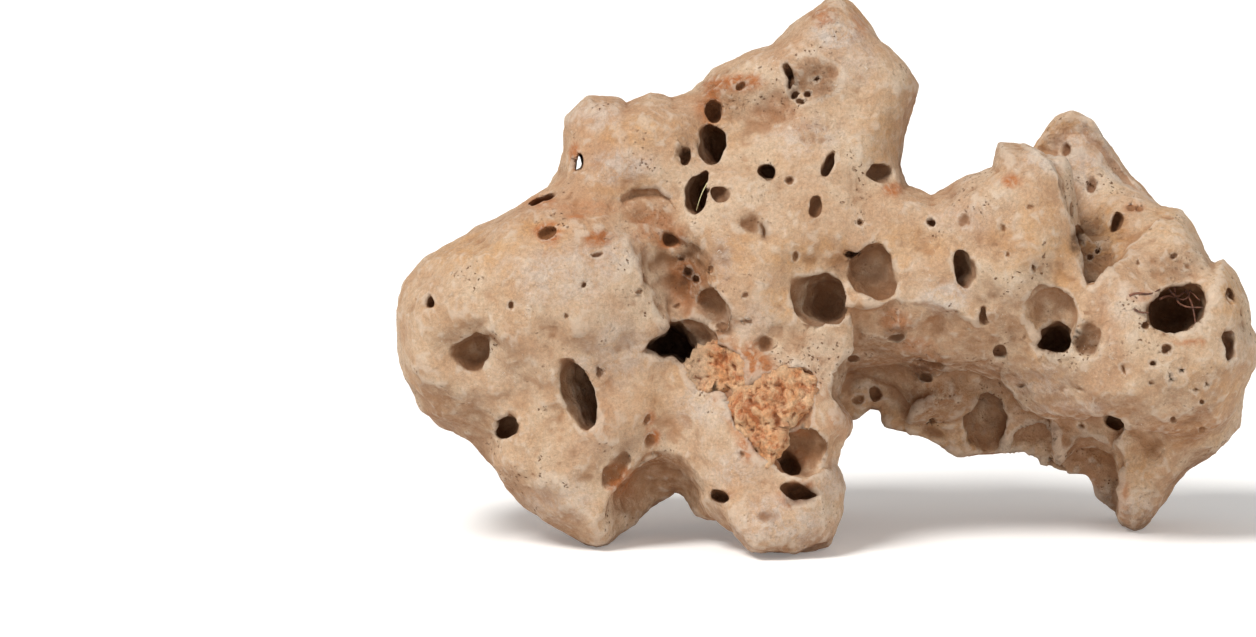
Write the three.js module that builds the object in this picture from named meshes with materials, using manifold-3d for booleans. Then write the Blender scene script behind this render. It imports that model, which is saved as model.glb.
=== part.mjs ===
// A holey rock: one loose piece of limestone, eaten into arches, hollows and holes by water.
// It stands on four small worn feet. Millimetres, +X along the length, +Y to the back, +Z up.
// The origin is on the ground, under the middle of the stone's box.
import * as THREE from 'three';
import { MarchingCubes } from 'three/addons/objects/MarchingCubes.js';
import { mergeVertices } from 'three/addons/utils/BufferGeometryUtils.js';
import Module from 'manifold-3d';

// Driving dimensions
const LENGTH = 300;
const STONE_COLOUR = 0xc4a88a;
const STONE_ROUGHNESS = 0.85;
const EARTH_COLOUR = 0xb8754a;
const EARTH_ROUGHNESS = 0.95;
const SEAT_GAP = 0.3;

// How the stone's skin is drawn
const CELLS = 128;
const CELL = 2.5;
const DRAWN_MIDDLE = new THREE.Vector3(0, 0, 95);
const DRAWN_DEPTH = 75;
const DRAWN_LOW = -6;
const DRAWN_HIGH = 200;
const MOST_DRAWN = 120000;
const NEAR_ZERO = 1e-3;
const MERGE_NEAR = 1e-4;
const SKIN_TRIANGLES = 5600;
const STONE_TRIANGLES = 8300;
const LUMP_BLEND = 15;
const RIM_BLEND = 12;
const RIM_SPARE = 1;
const SHARP = 2.5;
const WORN = 5;
const SOFT = 9;

// The front view that the outline and the hollows are read from: an eye two metres off, a
// little left of the middle and looking down by 8 degrees. A place in that view is given in
// millimetres right of the stone's middle and above the ground line under the front foot.
const VIEW_DISTANCE = 2000;
const VIEW_TILT = THREE.MathUtils.degToRad(8);
const VIEW_TARGET = new THREE.Vector3(-69.3, 10.9, 74.3);
const VIEW_CENTRE = new THREE.Vector2(-69.3, 82.1);

// The stone's outline in the front view, clockwise from the left end.
const OUTLINE = [
  [-149.8, 84], [-146.5, 94], [-140, 103], [-125, 110], [-112, 120], [-98, 128], [-92, 133], [-90, 141],
  [-90, 152], [-84, 160], [-78, 160], [-73, 159], [-70, 156], [-62, 160], [-54, 158], [-42, 164],
  [-39, 168], [-25, 175], [-18, 177], [-10, 186], [-3, 191], [1, 194], [5, 194], [9, 190],
  [17, 180], [26, 171], [32, 163], [29, 157], [26, 146], [25, 136], [28, 128], [37, 124],
  [47, 130], [55, 132], [60, 134], [61, 143], [68, 141], [72, 145], [80, 153], [86, 155],
  [92, 151], [99, 141], [106, 131], [117, 121], [124, 119], [128, 114], [131, 106], [135, 100],
  [139, 102], [144, 96], [147, 88], [147, 80], [150.5, 74], [150, 66], [145, 58], [143, 46],
  [136, 36], [125, 29], [119, 20], [113, 11], [108, 7], [100, 14], [94, 19], [91, 26],
  [81, 26], [73, 34], [64, 37], [56, 35], [48, 35], [40, 38], [31, 43], [21, 45],
  [20, 51], [15, 52], [12, 49], [9, 44], [4, 37], [2, 31], [7, 22], [5, 12],
  [1, 3], [-11, -0.5], [-26, 0.5], [-32, 8], [-39, 11.5], [-48, 13], [-50, 20], [-53, 22],
  [-58, 17], [-65, 9], [-72, 7], [-80, 2.5], [-90, 7], [-98, 13], [-107, 17.5], [-117, 24],
  [-129, 36], [-141, 50], [-147.5, 66],
];

// The masses that the stone is grown together from: middle, half sizes, and the lean of the
// long axis in the front view, in degrees, positive with the right end up.
const LUMPS = {
  leftBoulder: { at: [-95, -10, 86], half: [58, 40, 38], lean: 22 },
  leftEnd: { at: [-128, -2, 74], half: [32, 34, 40], lean: 0 },
  leftLeg: { at: [-82, -12, 42], half: [36, 32, 46], lean: -8 },
  leftFoot: { at: [-82, -22, 10], half: [18, 14, 18], lean: 0 },
  legWeb: { at: [-50, -2, 38], half: [32, 28, 28], lean: 0 },
  heart: { at: [-22, -2, 94], half: [70, 42, 52], lean: 0 },
  shoulder: { at: [-68, 4, 134], half: [38, 28, 30], lean: 8 },
  peak: { at: [-2, 8, 146], half: [42, 32, 46], lean: 0 },
  peakTip: { at: [2, 10, 180], half: [16, 14, 18], lean: 0 },
  peakShoulder: { at: [-34, 10, 158], half: [26, 20, 22], lean: 20 },
  bridge: { at: [46, -4, 92], half: [52, 34, 38], lean: 0 },
  frontLobe: { at: [66, -18, 114], half: [26, 24, 38], lean: 0 },
  rightBlock: { at: [110, -10, 72], half: [50, 36, 38], lean: 0 },
  horn: { at: [94, 26, 122], half: [25, 20, 36], lean: 0 },
  rightSlope: { at: [118, 14, 94], half: [36, 30, 32], lean: -30 },
  rightUnder: { at: [132, 16, 38], half: [32, 24, 34], lean: 0 },
  rightSpike: { at: [107, 13, 24], half: [20, 22, 38], lean: 0 },
  underWall: { at: [60, 16, 46], half: [64, 24, 30], lean: -6 },
  middleLeg: { at: [-16, -26, 36], half: [34, 26, 38], lean: 0 },
  middleFoot: { at: [-17, -36, 8], half: [24, 18, 18], lean: 0 },
  footFin: { at: [-42, -19, 21.5], half: [14, 10, 13], lean: 0 },
  backFoot: { at: [-14, 38, 24], half: [20, 18, 34], lean: 0 },
  back: { at: [0, 22, 86], half: [92, 28, 42], lean: 0 },
  backShoulder: { at: [-46, 36, 112], half: [32, 20, 26], lean: -20 },
  backRidge: { at: [70, 38, 66], half: [34, 20, 20], lean: 15 },
  backKnob: { at: [-94, 32, 60], half: [26, 20, 24], lean: 0 },
  backCrown: { at: [10, 26, 150], half: [22, 20, 26], lean: 0 },
};

// The large hollows that water has taken out of it: where the middle shows in the front view,
// how far it sinks below the skin there, and the half sizes and lean as above.
const SCOOPS = {
  valleyTop: { seen: [-62, 122], sink: -2, half: [10, 7, 9], lean: 0, edge: SOFT },
  valley: { seen: [-54, 100], sink: 0, half: [10, 11, 24], lean: 23, edge: WORN },
  valleyEdge: { seen: [-52, 90], sink: 2, half: [8, 10, 14], lean: 15 },
  cavityLip: { seen: [-46, 75], sink: 1, half: [8, 11, 6], lean: -20 },
  valleyCup: { seen: [-41, 85], sink: 2.5, half: [6.6, 8, 6.4], lean: 0 },
  earthHollow: { seen: [-19, 51], sink: -1, half: [14, 9, 12], lean: -20 },
  smallEarthHollow: { seen: [-37, 65], sink: -1, half: [9, 7, 7], lean: -10 },
  legHollow: { seen: [-9, 35], sink: 1, half: [9, 10, 7.5], lean: -15 },
  notchHollow: { seen: [13.5, 60], sink: 2, half: [12.8, 17, 11], lean: 10 },
  notchMouth: { seen: [15, 49], sink: 0, half: [8, 24, 9], lean: 0 },
  doorHollow: { seen: [-6, 98], sink: -4, half: [13, 8, 9], lean: 35, edge: SOFT },
  bowlSide: { seen: [8, 98], sink: -1, half: [8, 6.5, 8], lean: 0, edge: WORN },
  browScallop: { seen: [38.5, 75.5], sink: 0, half: [6, 6.5, 8], lean: 0, edge: WORN },
  blockBowl: { seen: [78.5, 83], sink: 1, half: [9.5, 8, 10], lean: 0 },
  lobeRecess: { seen: [97, 107], sink: 3, half: [8, 10, 16], lean: -38 },
  darkFunnel: { seen: [121, 101], sink: -4, half: [14, 8, 9], lean: -35, edge: SOFT },
  spikeScallop: { seen: [93, 31], sink: 1, half: [9.5, 12, 11], lean: 15 },
  spikeFace: { seen: [108, 38], sink: -3, half: [9, 7, 11], lean: 0, edge: SOFT },
  wallScallop: { seen: [72.5, 36.5], sink: 15, half: [8.3, 8, 11], lean: 0 },
  wallHollow: { seen: [57, 40], sink: -1, half: [8, 7, 15], lean: 0, edge: WORN },
  legSide: { seen: [-60, 18], sink: -6, half: [15, 18, 13], lean: 30, edge: SOFT },
  peakPocket: { seen: [-5, 167], sink: -2, half: [10, 5, 9], lean: -10 },
  peakHollow: { seen: [-22, 155], sink: -2, half: [8, 4.5, 5.5], lean: 15, edge: SOFT },
  backHollow: { from: 'back', at: [56, 92], sink: -5, half: [26, 18, 20], lean: 20 },
  backBowl: { from: 'back', at: [-66, 106], sink: -4, half: [24, 15, 17], lean: -15, edge: SOFT },
  backValley: { from: 'back', at: [-30, 56], sink: -2, half: [28, 14, 11], lean: 14 },
  backNook: { from: 'back', at: [-112, 66], sink: -2, half: [12, 10, 12], lean: 0 },
  backDish: { from: 'back', at: [112, 84], sink: -3, half: [15, 9, 12], lean: -20, edge: SOFT },
  backPeak: { from: 'back', at: [8, 140], sink: -3, half: [13, 9, 17], lean: 15, edge: SOFT },
  endDish: { seen: [-128, 66], sink: -3, half: [13, 8, 11], lean: 10, edge: SOFT },
  topDish: { from: 'top', at: [-112, 8], sink: -3, half: [14, 11, 8], lean: 20, edge: SOFT },
  topCup: { from: 'top', at: [-56, 14], sink: -2, half: [11, 9, 8], lean: 0 },
};

// The steps in its skin, where a sheet of the stone has gone: how thick the sheet was at the
// first point of its edge, how fast that fades to the right and up, in shares per millimetre,
// how far back it reached there and how much further per millimetre lower, its edge blend, and
// its edge in the front view.
const STEPS = {
  underArm: {
    sink: 17, fade: [-0.028, 0], back: 5, tilt: 0.4,
    edge: [
      [60, 60.8], [64.3, 56.7], [69.9, 50.2], [79.2, 47.4], [80.5, 41], [80.5, 30], [84, 33],
      [89, 37], [96, 38], [101, 35], [102.5, 25], [103, 8], [94, 2], [50, 16], [24, 38], [30, 52],
      [36, 58], [42, 63.5], [50, 65],
    ],
  },
  armRib: {
    sink: 8, fade: [0, 0], back: 0, tilt: 0,
    edge: [
      [77, 47.8], [88.5, 47.4], [98, 49.3], [104, 47.5], [104.5, 44], [101, 41], [98, 36], [89, 34],
      [79, 28],
    ],
  },
  cavity: {
    sink: 22, fade: [0, 0], back: 0, tilt: 0,
    edge: [
      [-64.5, 71.2], [-61, 74], [-57, 76.6], [-55, 80.4], [-51.4, 80.6], [-49.4, 77.1],
      [-47.8, 74], [-44.5, 71], [-46, 67.4], [-48.3, 65.6], [-50.4, 66.3], [-53.9, 69],
      [-58.6, 68.6],
    ],
  },
  cavitySlope: {
    sink: 16, fade: [0.08, 0], back: 0, tilt: 0,
    edge: [
      [-50.5, 77.5], [-46, 76.6], [-42, 75.2], [-38.5, 72.5], [-37.5, 69.5], [-41, 68.6],
      [-45.5, 68.6], [-48.9, 72],
    ],
  },
  boulderEdge: {
    sink: 8, fade: [0.04, 0], back: 0, tilt: 0,
    edge: [
      [-61, 97.6], [-58, 93], [-55.5, 87], [-54.8, 80], [-50, 78], [-42, 84], [-40, 92], [-44, 102],
      [-52, 104],
    ],
  },
  valleyBrow: {
    sink: 5, fade: [-0.01, -0.05], back: 0, tilt: 0,
    edge: [
      [-63, 127.8], [-58.6, 127.2], [-54.6, 124.3], [-52.6, 121], [-51.5, 108], [-56, 106.5],
      [-61, 112], [-67, 118], [-72, 123], [-68, 127],
    ],
  },
  lobeEdge: {
    sink: 7, fade: [0.03, 0.008], back: 20, tilt: 0,
    edge: [
      [91.8, 93.4], [95, 93.4], [99.6, 101], [107.9, 109.3], [116, 117], [126, 128], [110, 150],
      [90, 165], [72, 158], [66, 148], [70.9, 142.2], [78.8, 138.2], [83, 131], [84.6, 119],
      [87.2, 108.5], [90.3, 100.5],
    ],
  },
  bridgeBrow: {
    sink: 13.8, fade: [0.0118, 0.019], back: 12, tilt: 0, blend: WORN,
    edge: [
      [24, 38], [12, 44], [3, 54], [8, 64], [10, 71], [9.5, 79], [8, 85.4], [17.5, 84.8],
      [29, 86.8], [38.2, 84.6], [46.9, 81.6], [57.4, 76.3], [62, 67.6], [60, 60.8], [50, 65],
      [42, 63.5], [36, 58], [30, 52],
    ],
  },
  slabEdge: {
    sink: 4, fade: [0.052, 0.047], back: 0, tilt: 0,
    edge: [
      [-48.3, 65.1], [-44.5, 58.1], [-35.7, 55.7], [-33.6, 51.1], [-28.7, 43.1], [-21.7, 35.4],
      [-14.7, 28.4], [-7, 27.7], [1, 30.1], [4, 40], [0, 54], [-12, 66], [-26, 70], [-38, 74],
    ],
  },
};

// The holes and pits: where the mouth is, its half sizes, how deep it goes, its turn in degrees,
// how far its way leans to the right and up, and how blunt its end is: 2 is a bowl, 6 a tube.
const BORES = {
  edgeWindow: { seen: [-86.4, 136.6], half: [1.7, 3.8], deep: 60, turn: -5, lean: [0, 0], blunt: 6 },
  edgeSlot: { seen: [-99.7, 124], half: [4.4, 2.6], deep: 10, turn: 22, lean: [0, -20], blunt: 4 },
  leftSlot: { seen: [-87, 55], half: [5, 11.5], deep: 26, turn: 12, lean: [25, 0], blunt: 4 },
  deepHole: { seen: [-40.7, 143.5], half: [4.2, 7.4], deep: 22, turn: 8, lean: [10, -5], blunt: 4 },
  deepHoleTop: { seen: [-39, 155], half: [2.4, 3.2], deep: 8, turn: 0, lean: [0, -20], blunt: 4 },
  tallHole: { seen: [-45.3, 125.5], half: [3.9, 7.4], deep: 24, turn: -10, lean: [12, 0], blunt: 4 },
  roundPit: { seen: [-37, 125.5], half: [2.7, 2.8], deep: 6, turn: 0, lean: [-20, 0], blunt: 4 },
  twinPit: { seen: [-49.5, 139], half: [2, 3], deep: 6, turn: 0, lean: [0, 0], blunt: 3 },
  roundHole: { seen: [-20.2, 134.3], half: [3, 3], deep: 16, turn: 0, lean: [5, -5], blunt: 5 },
  slit: { seen: [0.9, 136], half: [1.9, 4.8], deep: 8, turn: -22, lean: [0, 0], blunt: 3 },
  ovalPit: { seen: [19.9, 132.8], half: [4.8, 3], deep: 8, turn: -15, lean: [-15, 10], blunt: 3 },
  bean: { seen: [-3.9, 121.5], half: [2.2, 3.3], deep: 5, turn: -10, lean: [0, 0], blunt: 3 },
  pocketSlit: { seen: [-12.5, 168], half: [1.6, 3.6], deep: 7, turn: 15, lean: [0, 0], blunt: 4 },
  door: { seen: [-0.8, 89.2], half: [8, 9], deep: 18, turn: 0, lean: [6, -4], blunt: 4 },
  doorSide: { seen: [-4.4, 88.8], half: [7.6, 8.6], deep: 8, turn: 0, lean: [0, 0], blunt: 2 },
  bowl: { seen: [17.4, 98], half: [8.4, 10], deep: 10, turn: 0, lean: [-25, 10], blunt: 2 },
  bowlHole: { seen: [8.4, 104.6], half: [3, 1.5], deep: 9, turn: -20, lean: [10, 10], blunt: 4 },
  ovalDeep: { seen: [48.6, 99.8], half: [3.3, 6.6], deep: 16, turn: 8, lean: [-15, 0], blunt: 4 },
  wallPit: { seen: [54.5, 83], half: [2, 2.8], deep: 5, turn: 0, lean: [0, 0], blunt: 3 },
  blockHole: { seen: [79.9, 74.6], half: [6.3, 5.4], deep: 24, turn: 0, lean: [0, -8], blunt: 5 },
  blockDish: { seen: [90.8, 74], half: [5.3, 6.2], deep: 4, turn: 10, lean: [0, 0], blunt: 2 },
  blockPit: { seen: [61.2, 70.3], half: [2.2, 2.7], deep: 5, turn: 0, lean: [0, 0], blunt: 3 },
  darkHole: { seen: [123.9, 86.1], half: [10, 9], deep: 28, turn: 15, lean: [-6, -4], blunt: 4 },
  darkHoleEdge: { seen: [117, 84], half: [4, 5], deep: 18, turn: 30, lean: [0, 0], blunt: 4 },
  endSlot: { seen: [140.5, 72.8], half: [3.2, 6.3], deep: 7, turn: 14, lean: [-30, 0], blunt: 3 },
  endPit: { seen: [142, 90.5], half: [1.8, 2.4], deep: 5, turn: 0, lean: [-20, 0], blunt: 3 },
  hornSlot: { seen: [101.3, 116], half: [2, 3.6], deep: 8, turn: -25, lean: [0, 0], blunt: 4 },
  recessSlot: { seen: [87, 110.5], half: [1.8, 4], deep: 10, turn: 0, lean: [15, 0], blunt: 4 },
  crumblyPit: { seen: [35.4, 65.5], half: [5.7, 4.8], deep: 7, turn: -20, lean: [0, 0], blunt: 3 },
  underPit: { seen: [37.3, 46], half: [2, 2], deep: 5, turn: 0, lean: [0, 0], blunt: 3 },
  underHole: { seen: [56.4, 53.2], half: [1.8, 1.6], deep: 6, turn: 0, lean: [0, 0], blunt: 4 },
  ledgeHole: { seen: [101, 46.6], half: [3.4, 3], deep: 9, turn: -20, lean: [0, 0], blunt: 4 },
  hollowDark: { seen: [-13, 31.5], half: [4, 4.2], deep: 10, turn: 0, lean: [-15, -15], blunt: 4 },
  footPit: { seen: [-9, 21], half: [6, 3.8], deep: 9, turn: -8, lean: [0, -15], blunt: 4 },
  footHole: { seen: [-37.3, 20], half: [3.2, 2], deep: 8, turn: -10, lean: [0, 0], blunt: 4 },
  valleyDark: { seen: [-54.6, 110], half: [3.4, 2.6], deep: 4.5, turn: -20, lean: [0, 0], blunt: 3 },
  legRed: { seen: [-73.6, 26.2], half: [3.4, 6], deep: 2, turn: -12, lean: [0, 0], blunt: 2 },
  endBowl: { seen: [-124, 70], half: [7, 6], deep: 8, turn: 20, lean: [0, 0], blunt: 2 },
  endHole: { seen: [-112, 45], half: [4, 5.2], deep: 14, turn: -20, lean: [0, 0], blunt: 4 },
  endPin: { seen: [-139, 88], half: [2.4, 2.8], deep: 6, turn: 0, lean: [20, 0], blunt: 3 },
  backCave: { from: 'back', at: [50, 90], half: [9, 7.5], deep: 22, turn: 15, lean: [10, 0], blunt: 4 },
  backEye: { from: 'back', at: [-32, 118], half: [5.2, 6.4], deep: 16, turn: -20, lean: [0, 0], blunt: 4 },
  backDoor: { from: 'back', at: [-78, 100], half: [7, 6], deep: 20, turn: 20, lean: [0, -10], blunt: 4 },
  backPot: { from: 'back', at: [98, 60], half: [6, 8], deep: 18, turn: -15, lean: [0, 0], blunt: 3 },
  backPeakHole: { from: 'back', at: [4, 146], half: [3.6, 4.6], deep: 10, turn: 10, lean: [0, 0], blunt: 4 },
  backLow: { from: 'back', at: [-46, 54], half: [6.4, 4.6], deep: 16, turn: -10, lean: [15, 0], blunt: 4 },
  backSmall: { from: 'back', at: [-4, 92], half: [4.8, 4], deep: 12, turn: 0, lean: [-10, 0], blunt: 4 },
  backPin: { from: 'back', at: [18, 116], half: [2.6, 2.8], deep: 7, turn: 0, lean: [0, 0], blunt: 3 },
  backEnd: { from: 'back', at: [-116, 62], half: [3.6, 4.4], deep: 12, turn: 30, lean: [0, 0], blunt: 4 },
  backFootPit: { from: 'back', at: [-16, 30], half: [3.6, 3], deep: 7, turn: 0, lean: [0, 0], blunt: 3 },
  backRight: { from: 'back', at: [122, 90], half: [3.2, 3.8], deep: 9, turn: 0, lean: [0, 0], blunt: 3 },
  topHole: { from: 'top', at: [-58, 14], half: [4.6, 3.6], deep: 16, turn: 20, lean: [0, 0], blunt: 4 },
  topPot: { from: 'top', at: [-108, 6], half: [5.4, 4.4], deep: 14, turn: -15, lean: [0, 0], blunt: 3 },
  saddlePot: { from: 'top', at: [46, 12], half: [6.4, 4.8], deep: 13, turn: 10, lean: [0, 0], blunt: 3 },
  slopeHole: { from: 'top', at: [120, 16], half: [4, 4.8], deep: 12, turn: 0, lean: [10, 0], blunt: 4 },
  ridgePit: { from: 'top', at: [-26, 16], half: [3, 2.6], deep: 7, turn: 0, lean: [0, 0], blunt: 3 },
  archRoof: { from: 'under', at: [56, 12], half: [7.4, 6], deep: 16, turn: 15, lean: [0, 0], blunt: 3 },
  archPit: { from: 'under', at: [82, 20], half: [3.6, 3.2], deep: 8, turn: 0, lean: [0, 0], blunt: 3 },
  bellyPot: { from: 'under', at: [-48, 12], half: [6.6, 5.6], deep: 14, turn: -10, lean: [0, 0], blunt: 3 },
  legUnder: { from: 'under', at: [-112, 0], half: [5, 4.2], deep: 11, turn: 0, lean: [0, 0], blunt: 3 },
  leftEye: { from: 'left', at: [-8, 84], half: [6, 7], deep: 18, turn: 10, lean: [0, 0], blunt: 4 },
  leftPit: { from: 'left', at: [14, 62], half: [3.4, 4], deep: 8, turn: 0, lean: [0, 0], blunt: 3 },
  rightPot: { from: 'right', at: [14, 62], half: [6, 5], deep: 14, turn: 0, lean: [0, 0], blunt: 3 },
  rightPit: { from: 'right', at: [-6, 48], half: [3, 3.8], deep: 8, turn: 0, lean: [0, 0], blunt: 3 },
};

// The red earth that has set hard in two of the hollows, as clods that have run together, in the
// words of the scoops.
const EARTH = {
  red_earth_large: [
    { seen: [-15.4, 55], sink: -1, half: [9.5, 6, 7.5], lean: -10 },
    { seen: [-24.9, 48.3], sink: -1, half: [8, 6, 8], lean: 0 },
    { seen: [-20.6, 38.8], sink: 0, half: [5, 5, 6], lean: 10 },
    { seen: [-8.6, 59.7], sink: 0, half: [5, 4.5, 5], lean: 0 },
  ],
  red_earth_small: [
    { seen: [-34.4, 67.4], sink: -1, half: [7.5, 5, 5.5], lean: -15 },
    { seen: [-42, 63.6], sink: -1, half: [6.5, 5, 5], lean: 0 },
    { seen: [-31.5, 61.6], sink: 0, half: [4.5, 4, 4], lean: 0 },
  ],
};

const up = new THREE.Vector3(0, Math.sin(VIEW_TILT), Math.cos(VIEW_TILT));
const ahead = new THREE.Vector3(0, Math.cos(VIEW_TILT), -Math.sin(VIEW_TILT));

// Where a point shows in the front view.
function frontView(p) {
  const arm = p.clone().sub(VIEW_TARGET);
  const shrink = VIEW_DISTANCE / (VIEW_DISTANCE + arm.dot(ahead));
  return new THREE.Vector2(arm.x * shrink, arm.dot(up) * shrink).add(VIEW_CENTRE);
}

// The point that shows at a place in the front view and lies at depth y.
function behindView([right, high], y) {
  const ray = new THREE.Vector3(right - VIEW_CENTRE.x, 0, 0)
    .addScaledVector(up, high - VIEW_CENTRE.y)
    .addScaledVector(ahead, VIEW_DISTANCE);
  const eye = VIEW_TARGET.clone().addScaledVector(ahead, -VIEW_DISTANCE);
  return eye.addScaledVector(ray, (y - eye.y) / ray.y);
}

// Field of one mass or hollow: below zero inside it, above zero outside, in about millimetres.
function shellDistance(p, body) {
  const x = p.x - body.at.x;
  const y = (p.y - body.at.y) / body.half[1];
  const z = p.z - body.at.z;
  const u = (x * body.cos + z * body.sin) / body.half[0];
  const w = (z * body.cos - x * body.sin) / body.half[2];
  const reach = Math.sqrt(u * u + y * y + w * w);
  const slope = Math.hypot(u / body.half[0], y / body.half[1], w / body.half[2]);
  return slope === 0 ? -Math.min(...body.half) : (reach * (reach - 1)) / slope;
}

// How far a place in the front view lies outside a closed line, below zero inside it.
function outlineDistance(place, outline) {
  let nearest = Infinity;
  let inside = false;
  for (let i = 0, j = outline.length - 1; i < outline.length; j = i++) {
    const [ax, ay] = outline[i];
    const [bx, by] = outline[j];
    const [dx, dy] = [bx - ax, by - ay];
    const [px, py] = [place.x - ax, place.y - ay];
    const along = Math.min(Math.max((px * dx + py * dy) / (dx * dx + dy * dy), 0), 1);
    nearest = Math.min(nearest, Math.hypot(px - along * dx, py - along * dy));
    if (ay > place.y !== by > place.y && px < (dx * py) / dy) inside = !inside;
  }
  return inside ? -nearest : nearest;
}

function softUnion(a, b, blend) {
  const share = Math.max(blend - Math.abs(a - b), 0) / blend;
  return Math.min(a, b) - share * share * blend * 0.25;
}

function softCut(a, b, blend) {
  return -softUnion(-a, b, blend);
}

// Knobs and dimples of a few millimetres, all over: how high the waves are, their lengths as
// shares of a turn along each axis, and where they start. The first waves only bend the others.
const BENDING = { size: 6, length: [19, 23, 17], start: [1.3, 0.4, 2.1] };
const KNOBS = [
  { size: 2.4, length: [13, 11, 12], start: [0, 1, 2] },
  { size: 1.2, length: [6.1, 5.3, 5.7], start: [2, 0, 1] },
];

function undulation(p) {
  const { size, length, start } = BENDING;
  const bent = [
    p.x + size * Math.sin(p.z / length[0] + start[0]),
    p.y + size * Math.sin(p.x / length[1] + start[1]),
    p.z + size * Math.sin(p.y / length[2] + start[2]),
  ];
  return KNOBS.reduce((height, knob) => {
    const waves = bent.map((along, axis) => Math.sin(along / knob.length[axis] + knob.start[axis]));
    return height + knob.size * waves[0] * waves[1] * waves[2];
  }, 0);
}

// Where each side's features are read: the far point over a place on it, and the way in.
const SIDES = {
  back: ([x, z]) => ({ far: [x, 150, z], way: [0, -1, 0] }),
  top: ([x, y]) => ({ far: [x, y, 250], way: [0, 0, -1] }),
  under: ([x, y]) => ({ far: [x, y, -60], way: [0, 0, 1] }),
  left: ([y, z]) => ({ far: [-220, y, z], way: [1, 0, 0] }),
  right: ([y, z]) => ({ far: [220, y, z], way: [-1, 0, 0] }),
};
const VIEW_START = -120;
const LANDED = 0.02;
const MOST_STEPS = 400;
const STEP_SHARE = 0.6;
const LEAST_STEP = 0.05;

// The place on the skin of a field that a feature's row names, and the way in from there.
function landing(row, field) {
  const side = row.seen ? null : SIDES[row.from](row.at);
  const at = side ? new THREE.Vector3(...side.far) : behindView(row.seen, VIEW_START);
  const way = side ? new THREE.Vector3(...side.way) : behindView(row.seen, 0).sub(at).normalize();
  for (let step = 0; step < MOST_STEPS; step++) {
    const distance = field(at);
    if (distance <= LANDED) break;
    at.addScaledVector(way, Math.max(distance * STEP_SHARE, LEAST_STEP));
  }
  return { at, way };
}

// Rows with their middle found, on a field's skin where they name a place on it.
function prepared(list, field) {
  return Object.values(list).map((row) => {
    const spot = row.sink === undefined ? null : landing(row, field);
    return {
      ...row,
      at: spot ? spot.at.clone().addScaledVector(spot.way, row.sink) : new THREE.Vector3(...row.at),
      cos: Math.cos(THREE.MathUtils.degToRad(row.lean)),
      sin: Math.sin(THREE.MathUtils.degToRad(row.lean)),
    };
  });
}

const lumps = prepared(LUMPS, null);

function massField(p) {
  let field = Infinity;
  for (const lump of lumps) {
    const distance = shellDistance(p, lump);
    field = field === Infinity ? distance : softUnion(field, distance, LUMP_BLEND);
  }
  return softCut(field + undulation(p), RIM_SPARE - outlineDistance(frontView(p), OUTLINE), RIM_BLEND);
}

const scoops = prepared(SCOOPS, massField);
const steps = Object.values(STEPS);

// The sheet that a step takes away: under the skin it thins out by its fade.
function sheetDistance(p, place, skin, { sink, fade, back, tilt, edge }) {
  const right = place.x - edge[0][0];
  const high = place.y - edge[0][1];
  const share = Math.min(Math.max(1 - right * fade[0] - high * fade[1], 0), 1);
  return Math.max(outlineDistance(place, edge), -sink * share - skin, p.y - back + tilt * high);
}

function stoneField(p) {
  const skin = massField(p);
  const place = frontView(p);
  let field = skin;
  for (const scoop of scoops) field = softCut(field, shellDistance(p, scoop), scoop.edge ?? SHARP);
  for (const step of steps)
    field = softCut(field, sheetDistance(p, place, skin, step), step.blend ?? SHARP);
  return field;
}

// The stone's skin, as marching cubes draw it, merged to shared vertices.
function skinOf(field) {
  const cubes = new MarchingCubes(CELLS, new THREE.MeshStandardMaterial(), false, false, MOST_DRAWN);
  const p = new THREE.Vector3();
  const half = CELLS / 2;
  cubes.isolation = 0;
  cubes.field.fill(-1);
  for (let k = 1; k < CELLS - 1; k++)
    for (let j = 1; j < CELLS - 1; j++)
      for (let i = 1; i < CELLS - 1; i++) {
        p.set(i - half, j - half, k - half).multiplyScalar(CELL).add(DRAWN_MIDDLE);
        if (Math.abs(p.y) > DRAWN_DEPTH || p.z < DRAWN_LOW || p.z > DRAWN_HIGH) continue;
        const inside = -field(p);
        const place = i + j * CELLS + k * CELLS * CELLS;
        cubes.field[place] = Math.abs(inside) < NEAR_ZERO ? NEAR_ZERO : inside;
      }
  cubes.update();
  const drawn = new THREE.BufferGeometry().setAttribute(
    'position',
    new THREE.BufferAttribute(cubes.positionArray.slice(0, cubes.count * 3), 3),
  );
  const reach = half * CELL;
  const skin = mergeVertices(drawn, MERGE_NEAR / reach);
  return skin.scale(reach, reach, reach).translate(...DRAWN_MIDDLE.toArray());
}

// Keeps the shape while it drops triangles: each edge that closes moves its two ends to where
// the planes around them are missed least, and no face may turn further than its cosine allows.
const LEAST_COSINE = 0.3;
const MISS_TERMS = 10;
const LONG_EDGE_COST = 1e-3;
const SOLVABLE = 1e-3;
const NO_AREA = 1e-9;

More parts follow.
